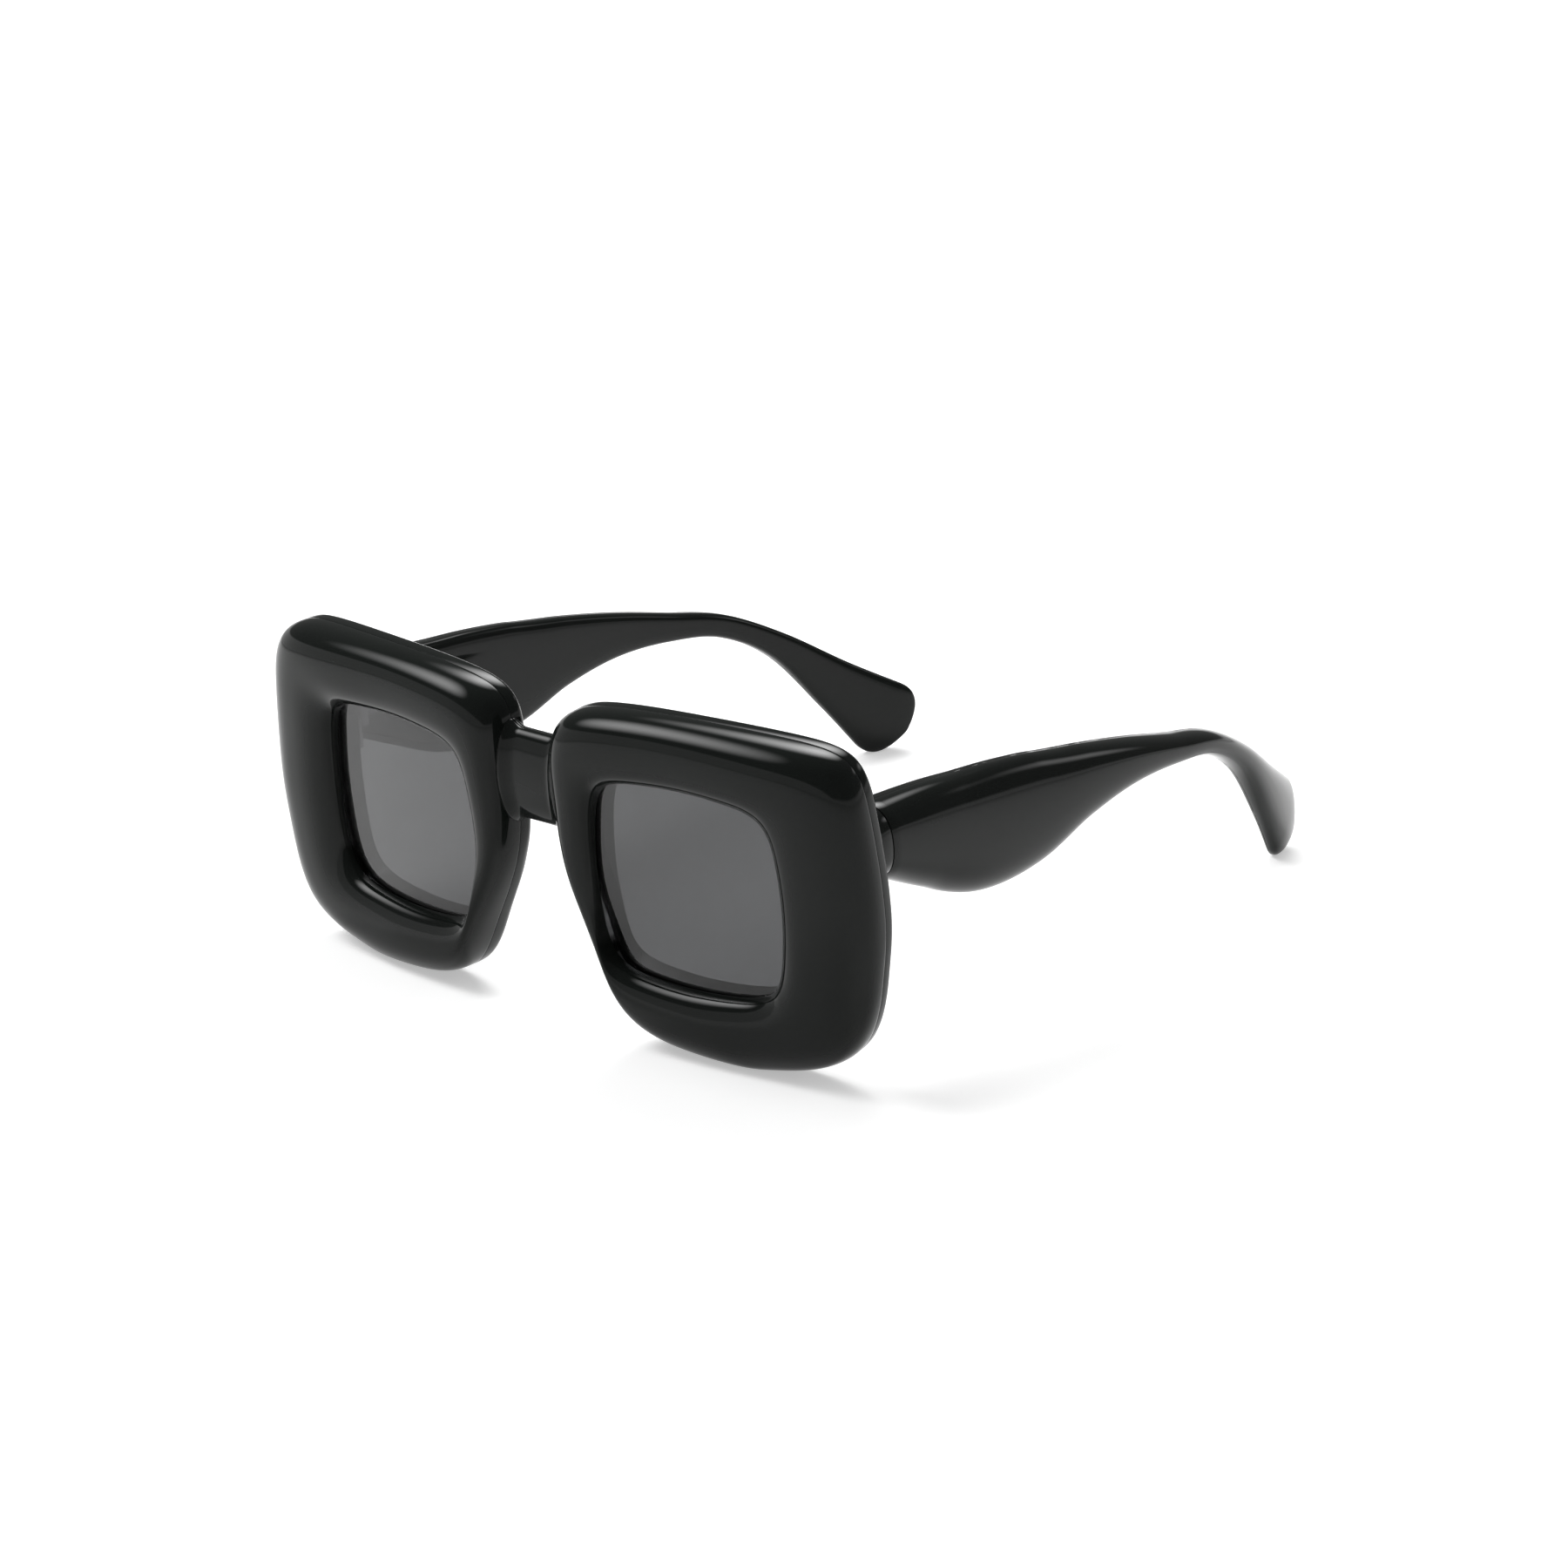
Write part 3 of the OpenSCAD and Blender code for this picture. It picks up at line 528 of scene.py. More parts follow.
def makeRimTree():
    tree, given = newShapeTree("inflatedRim", [
        ("Rows", "i"), ("Bulge", "f"), ("Side band", "f"), ("Swell power", "f"), ("Section power", "f"),
        ("Seam gap", "f"), ("Lens lift", "f"), ("Face radius", "f"), ("Lean", "f"), ("Place", "v"),
        ("Material", "m")])
    guide = given["Geometry"]
    mesh, column, wholeRow = gridPlace(tree, guide, calc(tree, "ADD", given["Rows"], 2))
    lastRow = calc(tree, "SUBTRACT", given["Rows"], 1)
    row = calc(tree, "MINIMUM", wholeRow, lastRow)
    beyond = calc(tree, "SUBTRACT", wholeRow, row)
    base = sampled(tree, guide, None, "FLOAT_VECTOR", column)
    way = sampled(tree, guide, "across", "FLOAT_VECTOR", column)
    width = addNode(tree, "ShaderNodeVectorMath", {0: way}, operation="LENGTH").outputs["Value"]
    swell = calc(tree, "POWER", calc(tree, "DIVIDE", width, given["Side band"]), given["Swell power"])
    depth = calc(tree, "MULTIPLY", given["Bulge"], swell)
    angle = calc(tree, "DIVIDE", calc(tree, "MULTIPLY", row, math.pi), lastRow)
    cosine = calc(tree, "COSINE", angle)
    sine = calc(tree, "MAXIMUM", calc(tree, "SINE", angle), 0)
    radius = superRadius(tree, calc(tree, "ABSOLUTE", cosine), sine, given["Section power"])
    acrossShare = calc(tree, "DIVIDE", calc(tree, "SUBTRACT", 1, calc(tree, "MULTIPLY", radius, cosine)), 2)
    # past the crest the flank ends on the lens, and the last two rows are the step that the lens lies in
    inner = calc(tree, "GREATER_THAN", 0, cosine)
    lastOnly = calc(tree, "MAXIMUM", calc(tree, "SUBTRACT", beyond, 1), 0)
    unstepped = calc(tree, "SUBTRACT", inner, lastOnly)
    foot = calc(tree, "ADD", given["Seam gap"], calc(tree, "MULTIPLY", given["Lens lift"], unstepped))
    out = blended(tree, foot, depth, calc(tree, "MULTIPLY", radius, sine))
    stepped = calc(tree, "MINIMUM", beyond, 1)
    seat = calc(tree, "MULTIPLY", sampled(tree, guide, "seat", "FLOAT", column), stepped)
    stepShare = calc(tree, "SUBTRACT", acrossShare, calc(tree, "DIVIDE", seat, width))
    flat = addNode(tree, "ShaderNodeSeparateXYZ", {
        "Vector": vectorCalc(tree, "ADD", base, scaled(tree, way, stepShare))})
    u, v = flat.outputs["X"], flat.outputs["Y"]
    turn = calc(tree, "DIVIDE", u, given["Face radius"])
    reach = calc(tree, "ADD", given["Face radius"], out)
    forward = calc(tree, "MULTIPLY", reach, calc(tree, "COSINE", turn))
    back = calc(tree, "SUBTRACT", given["Face radius"], forward)
    leanCos, leanSin = calc(tree, "COSINE", given["Lean"]), calc(tree, "SINE", given["Lean"])
    place = addNode(tree, "ShaderNodeCombineXYZ", {
        "X": calc(tree, "MULTIPLY", reach, calc(tree, "SINE", turn)),
        "Y": calc(tree, "SUBTRACT", calc(tree, "MULTIPLY", back, leanCos),
                  calc(tree, "MULTIPLY", v, leanSin)),
        "Z": calc(tree, "ADD", calc(tree, "MULTIPLY", back, leanSin), calc(tree, "MULTIPLY", v, leanCos))})
    skin = moveTo(tree, mesh, vectorCalc(tree, "ADD", place.outputs[0], given["Place"]))
    other = addNode(tree, "GeometryNodeTransform", {"Geometry": skin, "Scale": (-1, 1, 1)}).outputs[0]
    both = addNode(tree, "GeometryNodeJoinGeometry")
    tree.links.new(other, both.inputs[0])
    tree.links.new(skin, both.inputs[0])
    return finishShapeTree(tree, both.outputs[0], given["Material"])


def closeAcross(work):
    # fills the open seam side of each swept ring with a flat strip of faces
    edges = openEdges(work)
    for side in (1, -1):
        bmesh.ops.bridge_loops(work, edges=[e for e in edges if e.verts[0].co.x * side > 0])


bridge = {"spans": 60, "rows": 48, "sink": 2.2, "flare": 1.1, "flareLength": 2.6}


def bridgeHalf(name, outNear, outFar):
    # front or back half of the block between the rims: it flares out to meet them and is sunk into them
    middle = (front["bridgeTop"] + front["bridgeLow"]) / 2
    edge = loopPoint(rimLine, heightAt(middle)).x
    reach = edge + bridge["sink"]
    points, faces = [], []
    rows, spans = bridge["rows"], bridge["spans"]
    for i in range(spans + 1):
        u = mix(-reach, reach, i / spans)
        flare = bridge["flare"] * clamp(1 - (edge - abs(u)) / bridge["flareLength"]) ** 2
        half = (front["bridgeTop"] - front["bridgeLow"]) / 2 + flare
        far = outFar + (flare if outFar > outNear else 0)
        for j in range(rows + 1):
            angle = math.pi * j / rows
            r = roundness(angle, front["bridgePower"])
            flat = Vector((u, middle + half * r * math.cos(angle)))
            points.append(onFront(flat, mix(outNear, far, abs(r * math.sin(angle)))))
    count = rows + 1
    for i in range(spans):
        for j in range(count):
            a, b = i * count + j, i * count + (j + 1) % count
            faces.append((a, b, b + count, a + count))
    faces.append(tuple(range(count)))
    faces.append(tuple(range(spans * count, (spans + 1) * count)))
    return cleaned(meshObject(name, points, faces, blackPlastic))


def seatWidth(width):
    # how far a lens reaches under the rim whose band has this width
    return min(front["lensSeat"], front["wall"], width * front["wallCap"])


def makeFrontShell():
    steps = range(rimColumns + 1)
    outline = [loopPoint(rimLine, i / rimColumns) for i in steps]
    ways = [bandWay(i / rimColumns) for i in steps]
    guide = guideObject("frontShell", [(p.x, p.y, 0) for p in outline], {
        "across": [Vector((w.x, w.y, 0)) * mm for w in ways],
        "seat": [seatWidth(w.length) * mm for w in ways]})
    shell = shaped(guide, makeRimTree(), {
        "Rows": bulgeRows, "Bulge": front["bulge"] * mm, "Side band": front["sideBand"] * mm,
        "Swell power": front["swellPower"], "Section power": front["bulgePower"],
        "Seam gap": front["seamGap"] * mm, "Lens lift": front["lensLift"] * mm,
        "Face radius": front["faceRadius"] * mm, "Lean": lean, "Place": frontPlace * mm,
        "Material": blackPlastic})
    reworked(shell, closeAcross)
    softened(shell, "shell")
    bridgePiece = softened(bridgeHalf("bridgeFront", front["seamGap"], front["bridgeDepth"]), "shell")
    return smoothed(joined("frontShell", [shell, bridgePiece]))


# Back cover: flat behind the rims, with rounded edges, a moulded nose pad on each rim and the hinge lugs

coverSteps = {"outer": 10, "flat": 12, "inner": 6}


def padAt(t):
    # how much of the nose pad's full depth stands here, 0 to 1
    padT = heightAt(front["padHeight"])
    reach = heightAt(front["padHeight"] - front["padLength"] / 2) - padT
    share = abs(t - padT) / reach
    return math.cos(math.pi / 2 * share) ** 2 if share < 1 else 0


def backSection(t):
    # closed section as (distance across the band, depth), from the seam's outer edge round the back
    width = bandWay(t).length
    pad = padAt(t)
    edge = min(front["coverEdge"], width * front["wallCap"])
    depth = front["cover"] + front["padDepth"] * pad
    roundX = mix(edge, front["padPeak"] * width, pad)
    roundY = mix(edge, front["padRound"] * depth, pad)
    level = front["lensLift"] - front["lensThick"] - front["lensClear"]
    ring = width - seatWidth(width) + front["ribClear"]
    section = [(0, 0)]
    for i in range(coverSteps["outer"] + 1):
        a = math.pi / 2 * i / coverSteps["outer"]
        section.append((roundX * (1 - math.cos(a)), -depth + roundY * (1 - math.sin(a))))
    for i in range(1, coverSteps["flat"] + 1):
        share = i / coverSteps["flat"]
        section.append((mix(roundX, width - edge / 2, share),
                        -mix(front["cover"], depth, (1 + math.cos(math.pi * share)) / 2)))
    for i in range(1, coverSteps["inner"] + 1):
        a = math.pi / 2 * i / coverSteps["inner"]
        section.append((width - edge / 2 * (1 - math.sin(a)),
                        -front["cover"] + edge / 2 * (1 - math.cos(a))))
    section += [(width, level), (ring, level), (ring, 0)]
    return section


def backRing(side):
    points, faces = [], []
    for i in range(rimColumns):
        t = i / rimColumns
        start = loopPoint(rimLine, t)
        way = bandWay(t).normalized()
        for x, out in backSection(t):
            points.append(onFront(start + way * x, out, side))
    count = len(points) // rimColumns
    for i in range(rimColumns):
        here, after = i * count, (i + 1) % rimColumns * count
        for j in range(count):
            k = (j + 1) % count
            faces.append((here + j, here + k, after + k, after + j))
    return cleaned(meshObject("backRing", points, faces, blackPlastic))


def hingeMatrix(side):
    # place of a pivot, with Z along its leaning axis
    turned = Matrix.Rotation(lean, 4, "X")
    return Matrix.Translation(Vector((pivot.x * side, pivot.y, pivot.z)) * mm) @ turned


hinge = {"knuckleRadius": 1.7, "knuckleHeight": 2.4, "knuckleGap": 0.1, "room": 0.3, "pinEnd": 0.3,
         "headHeight": 0.8, "leaf": 1, "leafLength": 13, "leafHeight": 6.4, "leafSeat": 0.7,
         "frontLeafHeight": 14, "leafEdge": 0.3, "screwHead": 1.1}
stackHeight = 3 * hinge["knuckleHeight"] + 2 * hinge["knuckleGap"]


lugPoints = 96


def cutterFrom(name, work, matrix):
    bmesh.ops.transform(work, matrix=matrix, verts=work.verts)
    mesh = bpy.data.meshes.new(name)
    work.to_mesh(mesh)
    work.free()
    return linked(name, mesh)


def solidBar(name, matrix, low, high):
    # a plain bar between two corners, used only as a cutter
    work = bmesh.new()
    bmesh.ops.create_cube(work, size=1)
    middle = (Vector(low) + Vector(high)) / 2 * mm
    size = (Vector(high) - Vector(low)) * mm
    stretch = Matrix.Translation(middle) @ Matrix.Diagonal((*size, 1))
    return cutterFrom(name, work, matrix @ stretch)


def roundBar(name, matrix, radius, low, high, spans=64):
    # a round cutter along the matrix's Z
    work = bmesh.new()
    bmesh.ops.create_cone(work, cap_ends=True, segments=spans, radius1=radius * mm, radius2=radius * mm,
                          depth=(high - low) * mm)
    return cutterFrom(name, work, matrix @ Matrix.Translation((0, 0, (low + high) / 2 * mm)))


def turningRoom(side):
    # cutter for the room that the knuckles and the screw's head turn in
    low = -stackHeight / 2 - hinge["pinEnd"] - hinge["room"]
    high = stackHeight / 2 + hinge["headHeight"] + hinge["room"]
    return roundBar("turningRoom", hingeMatrix(side), hinge["knuckleRadius"] + hinge["room"], low, high)


def grownBlock(side, outline, gap):
    # grows from inside the back cover, under the outline [x, z], to a plane that leans like the pivot
    count = len(outline)
    near = [(x, skinY(x, z, -front["cover"] / 2), z) for x, z in outline]
    far = [(x, hingeY - (z - hingeZ) * math.tan(lean) + gap / math.cos(lean), z) for x, z in outline]
    points = [placed(p, side) for p in near + far]
    faces = [(i, (i + 1) % count, (i + 1) % count + count, i + count) for i in range(count)]
    faces += [tuple(range(count)), tuple(range(count, 2 * count))]
    return cleaned(meshObject("grownBlock", points, faces, blackPlastic))


def makeLug(side):
    # the lug that the temple closes against, and the raised seat of the front's hinge leaf
    seamX = innerX + temple["inner"]
    halfHeight = templeLine[0].z * math.cos(lean)
    outline = []
    for i in range(lugPoints):
        angle = 2 * math.pi * i / lugPoints
        outward = math.cos(angle) > 0
        r = roundness(angle, temple["outerPower"] if outward else temple["innerPower"])
        reach = templeX - seamX if outward else temple["inner"]
        outline.append((seamX + r * math.cos(angle) * reach, hingeZ + r * math.sin(angle) * halfHeight))
    lug = cutWith(grownBlock(side, outline, -temple["foldGap"] / 2), turningRoom(side))
    seatLeft = pivot.x - temple["pivotOut"] - hinge["screwHead"] - 2 * hinge["leafEdge"]
    seatRight = pivot.x + temple["pivotOut"] + temple["inner"] / 2
    half = hinge["frontLeafHeight"] / 2 + hinge["leafEdge"]
    seatOutline = [(seatRight, hingeZ + half), (seatLeft, hingeZ + half),
                   (seatLeft, hingeZ - half), (seatRight, hingeZ - half)]
    seatBack = -hinge["knuckleRadius"] - hinge["room"] - hinge["leaf"]
    seat = cutWith(grownBlock(side, seatOutline, seatBack), turningRoom(side))
    block = sharpAngle["block"]
    return [softened(lug, "lug", block), softened(seat, "seat", block)]


def makeBackShell():
    pieces = [softened(backRing(side), "shell") for side in (1, -1)]
    pieces.append(softened(bridgeHalf("bridgeBack", 0, -front["cover"]), "shell"))
    for side in (1, -1):
        pieces += makeLug(side)
    return smoothed(joined("backShell", pieces))


frontShell = makeFrontShell()
backShell = makeBackShell()
print("front made")


# Lenses: bent panes that lie in a step of the front shell, in front of the back cover's ring

lensRings = 10


def makeLens(name, side):
    middle = Vector((lensEdge + front["lensWidth"] / 2, front["lowBand"] + front["lensHeight"] / 2))
    count = rimColumns // 2
    points, faces = [], []
    for out in (front["lensLift"], front["lensLift"] - front["lensThick"]):
        for ring in range(lensRings):
            for i in range(count):
                t = i / count
                way = bandWay(t)
                reach = seatWidth(way.length) - front["lensClear"]
                edge = loopPoint(lensLine, t) - way.normalized() * reach
                flat = edge.lerp(middle, ring / lensRings)
                points.append(onFront(flat, out, side))
        points.append(onFront(middle, out, side))
    layer = lensRings * count + 1
    for face in (0, layer):
        for ring in range(lensRings):
            for i in range(count):
                a, b = face + ring * count + i, face + ring * count + (i + 1) % count
                if ring < lensRings - 1:
                    faces.append((a, b, b + count, a + count))
                else:
                    faces.append((a, b, face + layer - 1))
    faces += [(i, (i + 1) % count, (i + 1) % count + layer, i + layer) for i in range(count)]
    return smoothed(cleaned(meshObject(name, points, faces, tintedLens)))


leftLens = makeLens("leftLens", 1)
rightLens = makeLens("rightLens", -1)
print("lenses made")


# Temples: a rounded section swept along the temple's path by a node tree, once for each shell

# mesh counts, the step that measures the path's direction, and how far columns crowd towards the tip
templeMesh = {"columns": 220, "arc": 40, "seam": 8, "step": 0.002, "crowd": 0.85}


def makeTempleTree():
    tree, given = newShapeTree("sweptTemple", [
        ("Arc rows", "i"), ("Seam rows", "i"), ("Section power", "f"), ("Tip power", "f"), ("Seam gap", "f"),
        ("Face", "f"), ("Tip in", "f"), ("Length", "f"), ("Curl power", "f"), ("Thick", "f"),
        ("Tip thick", "f"), ("Inner share", "f"), ("Reach out", "f"), ("Reach in", "f"), ("Tip flat", "f"),
        ("Side", "f"), ("Place", "v"), ("Material", "m")])
    guide = given["Geometry"]
    rows = calc(tree, "ADD", calc(tree, "ADD", given["Arc rows"], given["Seam rows"]), 1)
    mesh, column, row = gridPlace(tree, guide, rows)
    base = sampled(tree, guide, None, "FLOAT_VECTOR", column)
    up = sampled(tree, guide, "halfUp", "FLOAT_VECTOR", column)
    tipShare = sampled(tree, guide, "tipShare", "FLOAT", column)
    pathShare = sampled(tree, guide, "pathShare", "FLOAT", column)
    arcShare = calc(tree, "MINIMUM", calc(tree, "DIVIDE", row, given["Arc rows"]), 1)
    angle = calc(tree, "SUBTRACT", math.pi / 2, calc(tree, "MULTIPLY", arcShare, math.pi))
    cosine = calc(tree, "MAXIMUM", calc(tree, "COSINE", angle), 0)
    sine = calc(tree, "SINE", angle)
    power = blended(tree, given["Section power"], given["Tip power"], pathShare)
    radius = superRadius(tree, cosine, calc(tree, "ABSOLUTE", sine), power)
    seamShare = calc(tree, "DIVIDE", calc(tree, "SUBTRACT", row, given["Arc rows"]), given["Seam rows"])
    seamUp = calc(tree, "MULTIPLY", calc(tree, "MAXIMUM", seamShare, 0), 2)
    upShare = calc(tree, "ADD", calc(tree, "MULTIPLY", radius, sine), seamUp)
    outShare = calc(tree, "MULTIPLY", radius, cosine)
    flat = addNode(tree, "ShaderNodeSeparateXYZ", {
        "Vector": vectorCalc(tree, "ADD", base, scaled(tree, up, upShare))})
    y, z = flat.outputs["Y"], flat.outputs["Z"]
    along = calc(tree, "DIVIDE", calc(tree, "MAXIMUM", y, 0), given["Length"])
    curl = calc(tree, "MULTIPLY", given["Tip in"], calc(tree, "POWER", along, given["Curl power"]))
    face = calc(tree, "SUBTRACT", given["Face"], curl)
    thick = blended(tree, given["Thick"], given["Tip thick"], calc(tree, "MINIMUM", along, 1))
    outerPart = calc(tree, "MULTIPLY", thick, calc(tree, "SUBTRACT", 1, given["Inner share"]))
    seam = calc(tree, "SUBTRACT", face, outerPart)
    outerRoom = calc(tree, "SUBTRACT", outerPart, given["Seam gap"])
    outReach = calc(tree, "MULTIPLY", outerRoom, given["Reach out"])
    inReach = calc(tree, "MULTIPLY", calc(tree, "MULTIPLY", thick, given["Inner share"]), given["Reach in"])
    start = calc(tree, "ADD", seam, calc(tree, "MULTIPLY", given["Seam gap"], given["Reach out"]))
    across = calc(tree, "SUBTRACT", outReach, inReach)
    x = calc(tree, "ADD", start, calc(tree, "MULTIPLY", outShare, across))
    middle = calc(tree, "SUBTRACT", face, calc(tree, "DIVIDE", thick, 2))
    slim = blended(tree, given["Tip flat"], 1, tipShare)
    slimX = calc(tree, "ADD", middle, calc(tree, "MULTIPLY", calc(tree, "SUBTRACT", x, middle), slim))
    place = addNode(tree, "ShaderNodeCombineXYZ", {"X": slimX, "Y": y, "Z": z})
    moved = vectorCalc(tree, "ADD", place.outputs[0], given["Place"])
    sided = addNode(tree, "ShaderNodeCombineXYZ", {"X": given["Side"], "Y": 1, "Z": 1}).outputs[0]
    final = vectorCalc(tree, "MULTIPLY", moved, sided)
    return finishShapeTree(tree, moveTo(tree, mesh, final), given["Material"])


templeTree = makeTempleTree()


def templeGuide(name):
    # middle line of a temple, with half its height as an upward vector and how far its tip has closed
    step = templeMesh["step"]
    columns = templeMesh["columns"]
    rise = Vector((-math.sin(lean), math.cos(lean)))
    tip = pathPoint(templeLine, 1)
    points, ups, tips, shares = [], [], [], []
    for i in range(columns + 1):
        t = math.sin(math.pi / 2 * i / columns) ** templeMesh["crowd"]
        here, before, after = (pathPoint(templeLine, x) for x in (t, t - step, t + step))
        way = Vector((after.x - before.x, after.y - before.y)).normalized()
        up = rise.lerp(Vector((-way.y, way.x)), clamp(t / temple["blend"]))
        up.normalize()
        near = clamp(1 - Vector((tip.x - here.x, tip.y - here.y)).length / temple["tipRound"])
        closing = max(1 - near ** temple["tipPower"], 0) ** (1 / temple["tipPower"])
        points.append((0, here.x, here.y))
        ups.append(Vector((0, up.x, up.y)) * here.z * closing * mm)
        tips.append(closing)
        shares.append(t)
    return guideObject(name, points, {"halfUp": ups, "tipShare": tips, "pathShare": shares})


def closeFrontEnd(work):
    bmesh.ops.contextual_create(work, geom=openEdges(work))


def makeTempleShell(name, side, outer):
    values = {
        "Arc rows": templeMesh["arc"], "Seam rows": templeMesh["seam"],
        "Section power": float(temple["outerPower"] if outer else temple["innerPower"]),
        "Tip power": temple["tipFacePower"],
        "Seam gap": front["seamGap"] * mm, "Face": templeX * mm, "Tip in": temple["tipIn"] * mm,
        "Length": temple["length"] * mm, "Curl power": temple["curlPower"], "Thick": temple["thick"] * mm,
        "Tip thick": temple["tipThick"] * mm, "Inner share": temple["inner"] / temple["thick"],
        "Reach out": 1.0 if outer else 0.0, "Reach in": 0.0 if outer else 1.0, "Tip flat": temple["tipFlat"],
        "Side": float(side), "Place": templePlace * mm, "Material": blackPlastic}
    return reworked(shaped(templeGuide(name), templeTree, values), closeFrontEnd)


def leafCutter(side):
    # the let-in seat of the temple's leaf
    slack = hinge["knuckleGap"] / 2
    low = side * (temple["pivotOut"] + hinge["leafSeat"] - hinge["leaf"] - slack)
    high = side * (temple["pivotOut"] + hinge["leafSeat"] + slack)
    low, high = min(low, high), max(low, high)
    start = hinge["knuckleRadius"] + 2 * hinge["room"]
    roundMiddle = hinge["leafLength"] - hinge["leafHeight"] / 2
    half = hinge["leafHeight"] / 2 + slack
    plate = solidBar("leafPlate", hingeMatrix(side), (low, start - slack, -half), (high, roundMiddle, half))
    onSide = Matrix.Translation((0, roundMiddle * mm, 0)) @ Matrix.Rotation(math.pi / 2, 4, "Y")
    sideways = hingeMatrix(side) @ onSide
    end = roundBar("leafEnd", sideways, half, low, high)
    neck = solidBar("leafNeck", hingeMatrix(side), (low, 0, -hinge["knuckleHeight"] / 2 - slack),
                    (high, start + hinge["leafEdge"], hinge["knuckleHeight"] / 2 + slack))
    return [plate, end, neck]


def makeTemple(label, side):
    # the inner cover is cut for the knuckles and the leaf
    outer = softened(makeTempleShell(label + "TempleOuter", side, True), "temple")
    inner = makeTempleShell(label + "TempleInner", side, False)
    cutWith(inner, turningRoom(side))
    for cutter in leafCutter(side):
        cutWith(inner, cutter)
    softened(inner, "shell")
    return outer, inner


leftOuter, leftInner = makeTemple("left", 1)
rightOuter, rightInner = makeTemple("right", -1)
print("temples made")


# Riding and finishes

for piece, body, node, slotName in (
        (frontShell, "front", "front_shell", "frame"), (backShell, "front", "back_shell", "frame"),
        (leftLens, "front", "left_lens", "lens"), (rightLens, "front", "right_lens", "lens"),
        (leftOuter, "left_temple", "left_temple_outer", "frame"),
        (leftInner, "left_temple", "left_temple_inner", "frame"),
        (rightOuter, "right_temple", "right_temple_outer", "frame"),
        (rightInner, "right_temple", "right_temple_inner", "frame")):
    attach(piece, body)
    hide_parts(node)

# the hinge leaves and screws are shown as the frame's own solids, in steel
for name, node in frame["nodes"].items():
    if "leaf" in name or "screw" in name:
        node.data.materials.clear()
        node.data.materials.append(brushedSteel)
print("pieces ride on their bodies")


# Camera, floor and light

view = {
    "azimuth": 40.9, "elevation": 18.66, "roll": -0.69, "distance": 876.1, "target": (7.13, 51.78, 29.79),
    "lens": 110.7, "sensor": 36, "nearest": 0.01, "furthest": 50,
}


def makeCamera():
    back = wayTo(view["azimuth"], view["elevation"])
    data = bpy.data.cameras.new("camera")
    data.sensor_width = view["sensor"]
    data.lens = view["lens"]
    data.clip_start, data.clip_end = view["nearest"], view["furthest"]
    camera = linked("camera", data)
    camera.location = (frontPlace + Vector(view["target"]) + back * view["distance"]) * mm
    roll = Matrix.Rotation(math.radians(view["roll"]), 3, "Z")
    camera.rotation_euler = ((-back).to_track_quat("-Z", "Y").to_matrix() @ roll).to_euler()
    bpy.context.scene.camera = camera


studio = {
    "floorColour": (0.8, 0.8, 0.8, 1), "floorGlow": 0.42, "floorSize": 8.0, "worldLight": 0.35,
    # the white backdrop stands this high all round and higher towards one azimuth, and fades into a dim
    # ceiling, which only mirrored and refracted rays see
    "wallTop": 0.03, "wallFade": 0.05, "rise": 0.38, "riseAzimuth": -40, "ceiling": 0.17,
}


def seenShare(tree):
    # 1 for what the camera sees, straight, mirrored or through a lens, and 0 for light that falls on things
    path = tree.nodes.new("ShaderNodeLightPath")
    mirrored = calc(tree, "MAXIMUM", path.outputs["Is Glossy Ray"], path.outputs["Is Transmission Ray"])
    return calc(tree, "MAXIMUM", path.outputs["Is Camera Ray"], mirrored)


def makeFloor():
    material = bpy.data.materials.new("paleFloor")
    material.use_nodes = True
    tree = material.node_tree
    tree.nodes.clear()
    matt = addNode(tree, "ShaderNodeBsdfDiffuse", {"Color": studio["floorColour"]})
    glow = addNode(tree, "ShaderNodeEmission", {
        "Strength": calc(tree, "MULTIPLY", seenShare(tree), studio["floorGlow"])})
    both = addNode(tree, "ShaderNodeAddShader", {0: matt.outputs[0], 1: glow.outputs[0]})
    addNode(tree, "ShaderNodeOutputMaterial", {"Surface": both.outputs[0]})
    half = studio["floorSize"] / 2 / mm
    corners = [(-half, -half, 0), (half, -half, 0), (half, half, 0), (-half, half, 0)]
    floor = meshObject("floor", corners, [(0, 1, 2, 3)], material)


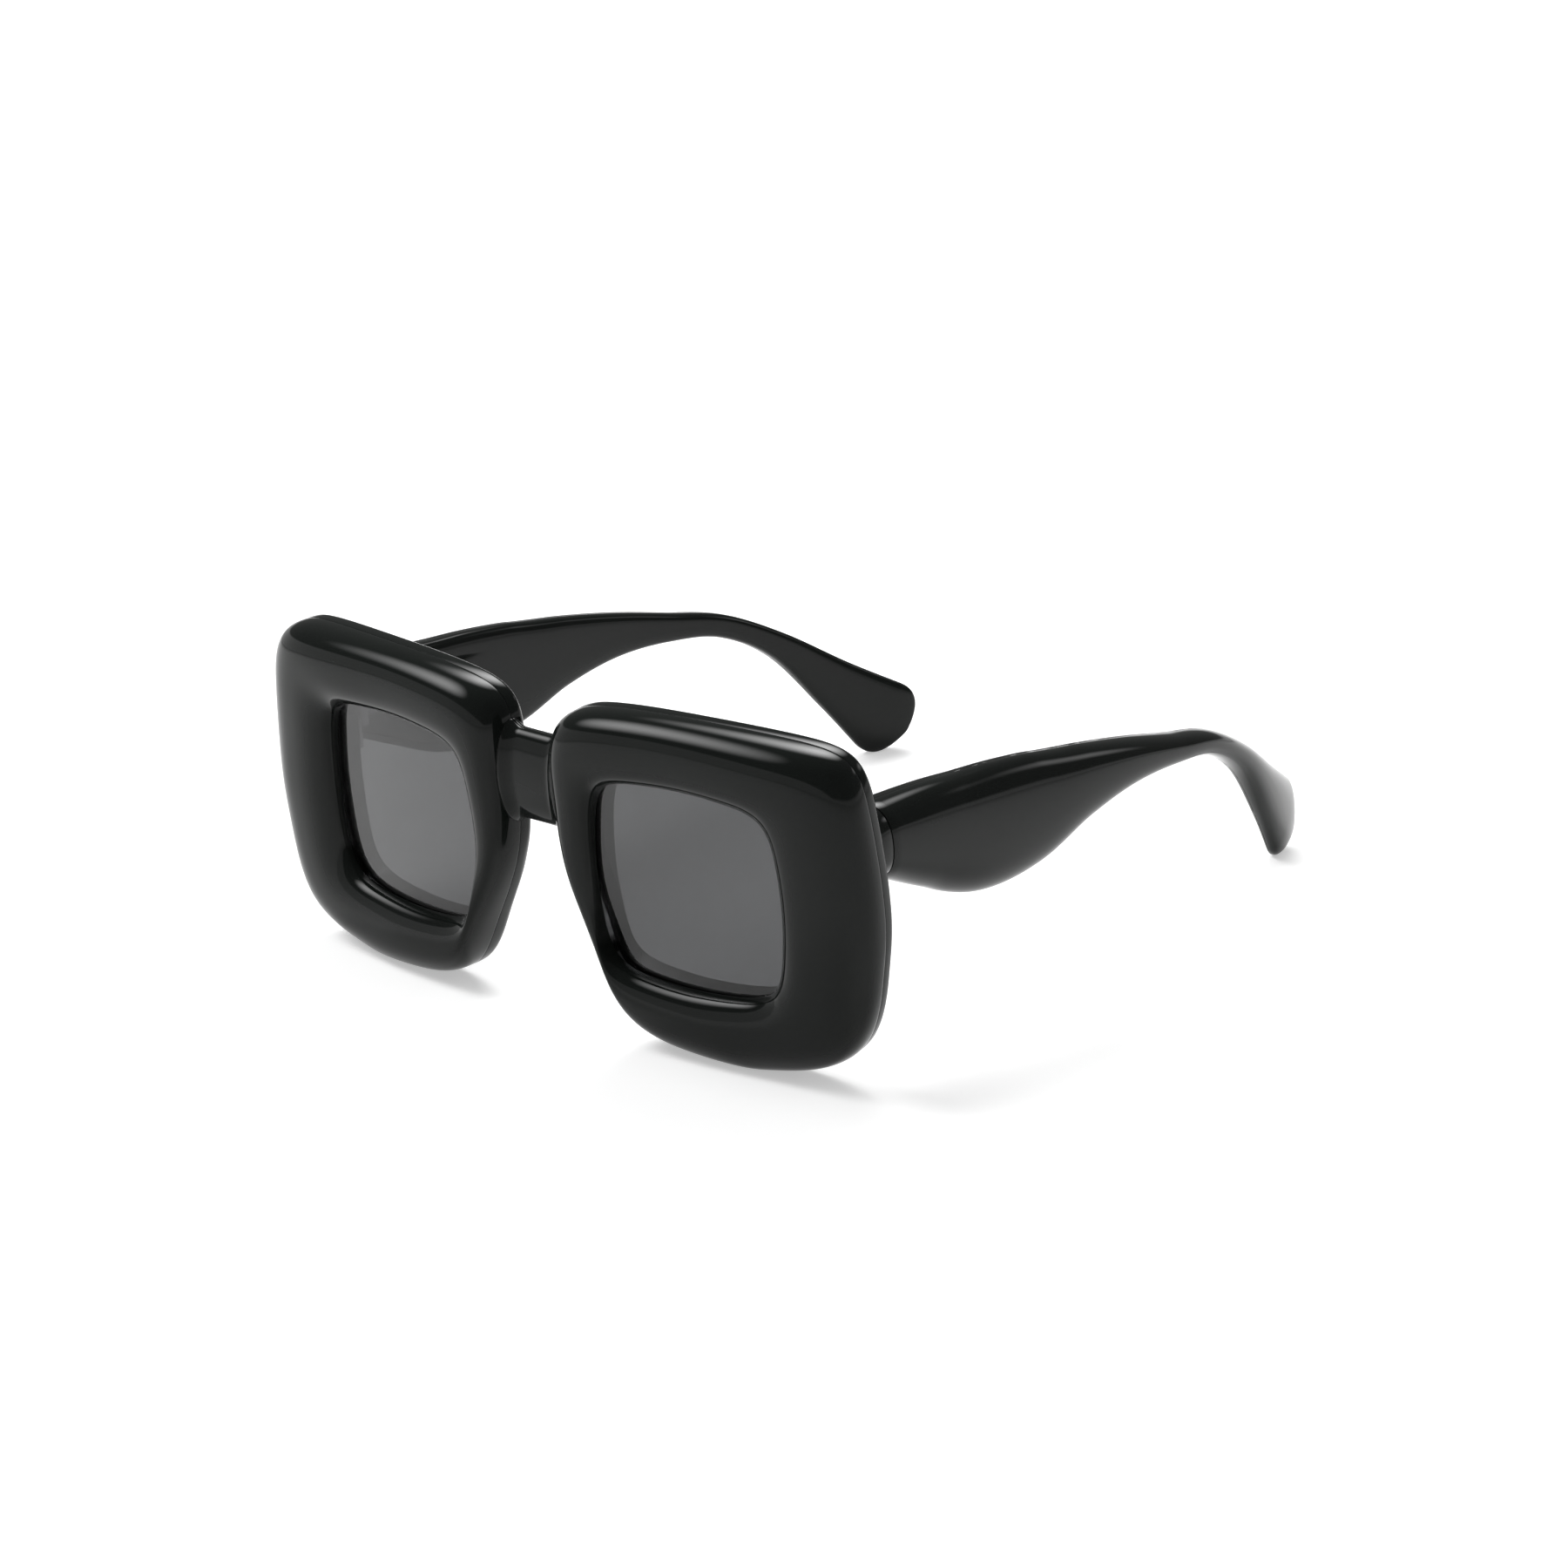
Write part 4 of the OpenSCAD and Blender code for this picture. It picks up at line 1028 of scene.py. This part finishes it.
def makeWorld():
    world = bpy.data.worlds.new("studio")
    world.use_nodes = True
    tree = world.node_tree
    background = tree.nodes["Background"]
    background.inputs["Color"].default_value = (1, 1, 1, 1)
    sky = tree.nodes.new("ShaderNodeTexCoord").outputs["Generated"]
    way = addNode(tree, "ShaderNodeSeparateXYZ", {"Vector": sky})
    raised = wayTo(studio["riseAzimuth"], 0)
    ahead = calc(tree, "ADD", calc(tree, "MULTIPLY", way.outputs["X"], raised.x),
                 calc(tree, "MULTIPLY", way.outputs["Y"], raised.y))
    risen = calc(tree, "MULTIPLY", calc(tree, "MAXIMUM", ahead, 0), studio["rise"])
    height = calc(tree, "SUBTRACT", way.outputs["Z"], risen)
    wall = addNode(tree, "ShaderNodeMapRange", {
        "Value": height, "From Min": studio["wallTop"], "From Max": studio["wallTop"] + studio["wallFade"],
        "To Min": 1, "To Max": studio["ceiling"]}, interpolation_type="SMOOTHSTEP")
    strength = blended(tree, studio["worldLight"], wall.outputs["Result"], seenShare(tree))
    # looked at straight, the backdrop is white all the way up
    straight = tree.nodes.new("ShaderNodeLightPath").outputs["Is Camera Ray"]
    strength = calc(tree, "MAXIMUM", strength, straight)
    tree.links.new(strength, background.inputs["Strength"])
    bpy.context.scene.world = world


lamps = {
    # the way to each softbox, its size in metres and its power
    "frontBox": {"azimuth": -60, "elevation": 50, "size": (1.05, 0.8), "power": 26},
    "backBox": {"azimuth": -148, "elevation": 54, "size": (1.05, 0.8), "power": 32},
    "sideBox": {"azimuth": 157, "elevation": 24, "size": (0.45, 0.3), "power": 0.9},
}
lampDistance = 1.1
lampTarget = Vector((0, 0, 0.03))


def softEdged(data):
    # a lamp that is bright in its middle and fades to its rim, as a softbox is
    data.use_nodes = True
    tree = data.node_tree
    place = tree.nodes.new("ShaderNodeNewGeometry").outputs["Parametric"]
    away = vectorCalc(tree, "SUBTRACT", place, (0.5, 0.5, 0))
    flat = vectorCalc(tree, "MULTIPLY", away, (2, 2, 0))
    distance = addNode(tree, "ShaderNodeVectorMath", {0: flat}, operation="LENGTH").outputs["Value"]
    fade = addNode(tree, "ShaderNodeMapRange", {
        "Value": distance, "From Min": 0, "From Max": 1, "To Min": 1, "To Max": 0},
        interpolation_type="SMOOTHSTEP")
    tree.links.new(fade.outputs["Result"], tree.nodes["Emission"].inputs["Strength"])


def makeLamps():
    for name, lamp in lamps.items():
        data = bpy.data.lights.new(name, "AREA")
        data.shape = "ELLIPSE"
        data.size, data.size_y = lamp["size"]
        data.energy = lamp["power"]
        softEdged(data)
        way = wayTo(lamp["azimuth"], lamp["elevation"])
        light = linked(name, data)
        light.location = lampTarget + way * lampDistance
        light.rotation_euler = (-way).to_track_quat("-Z", "Y").to_euler()


makeCamera()
makeFloor()
makeWorld()
makeLamps()
bpy.context.scene.view_settings.view_transform = "Standard"
print("studio made")
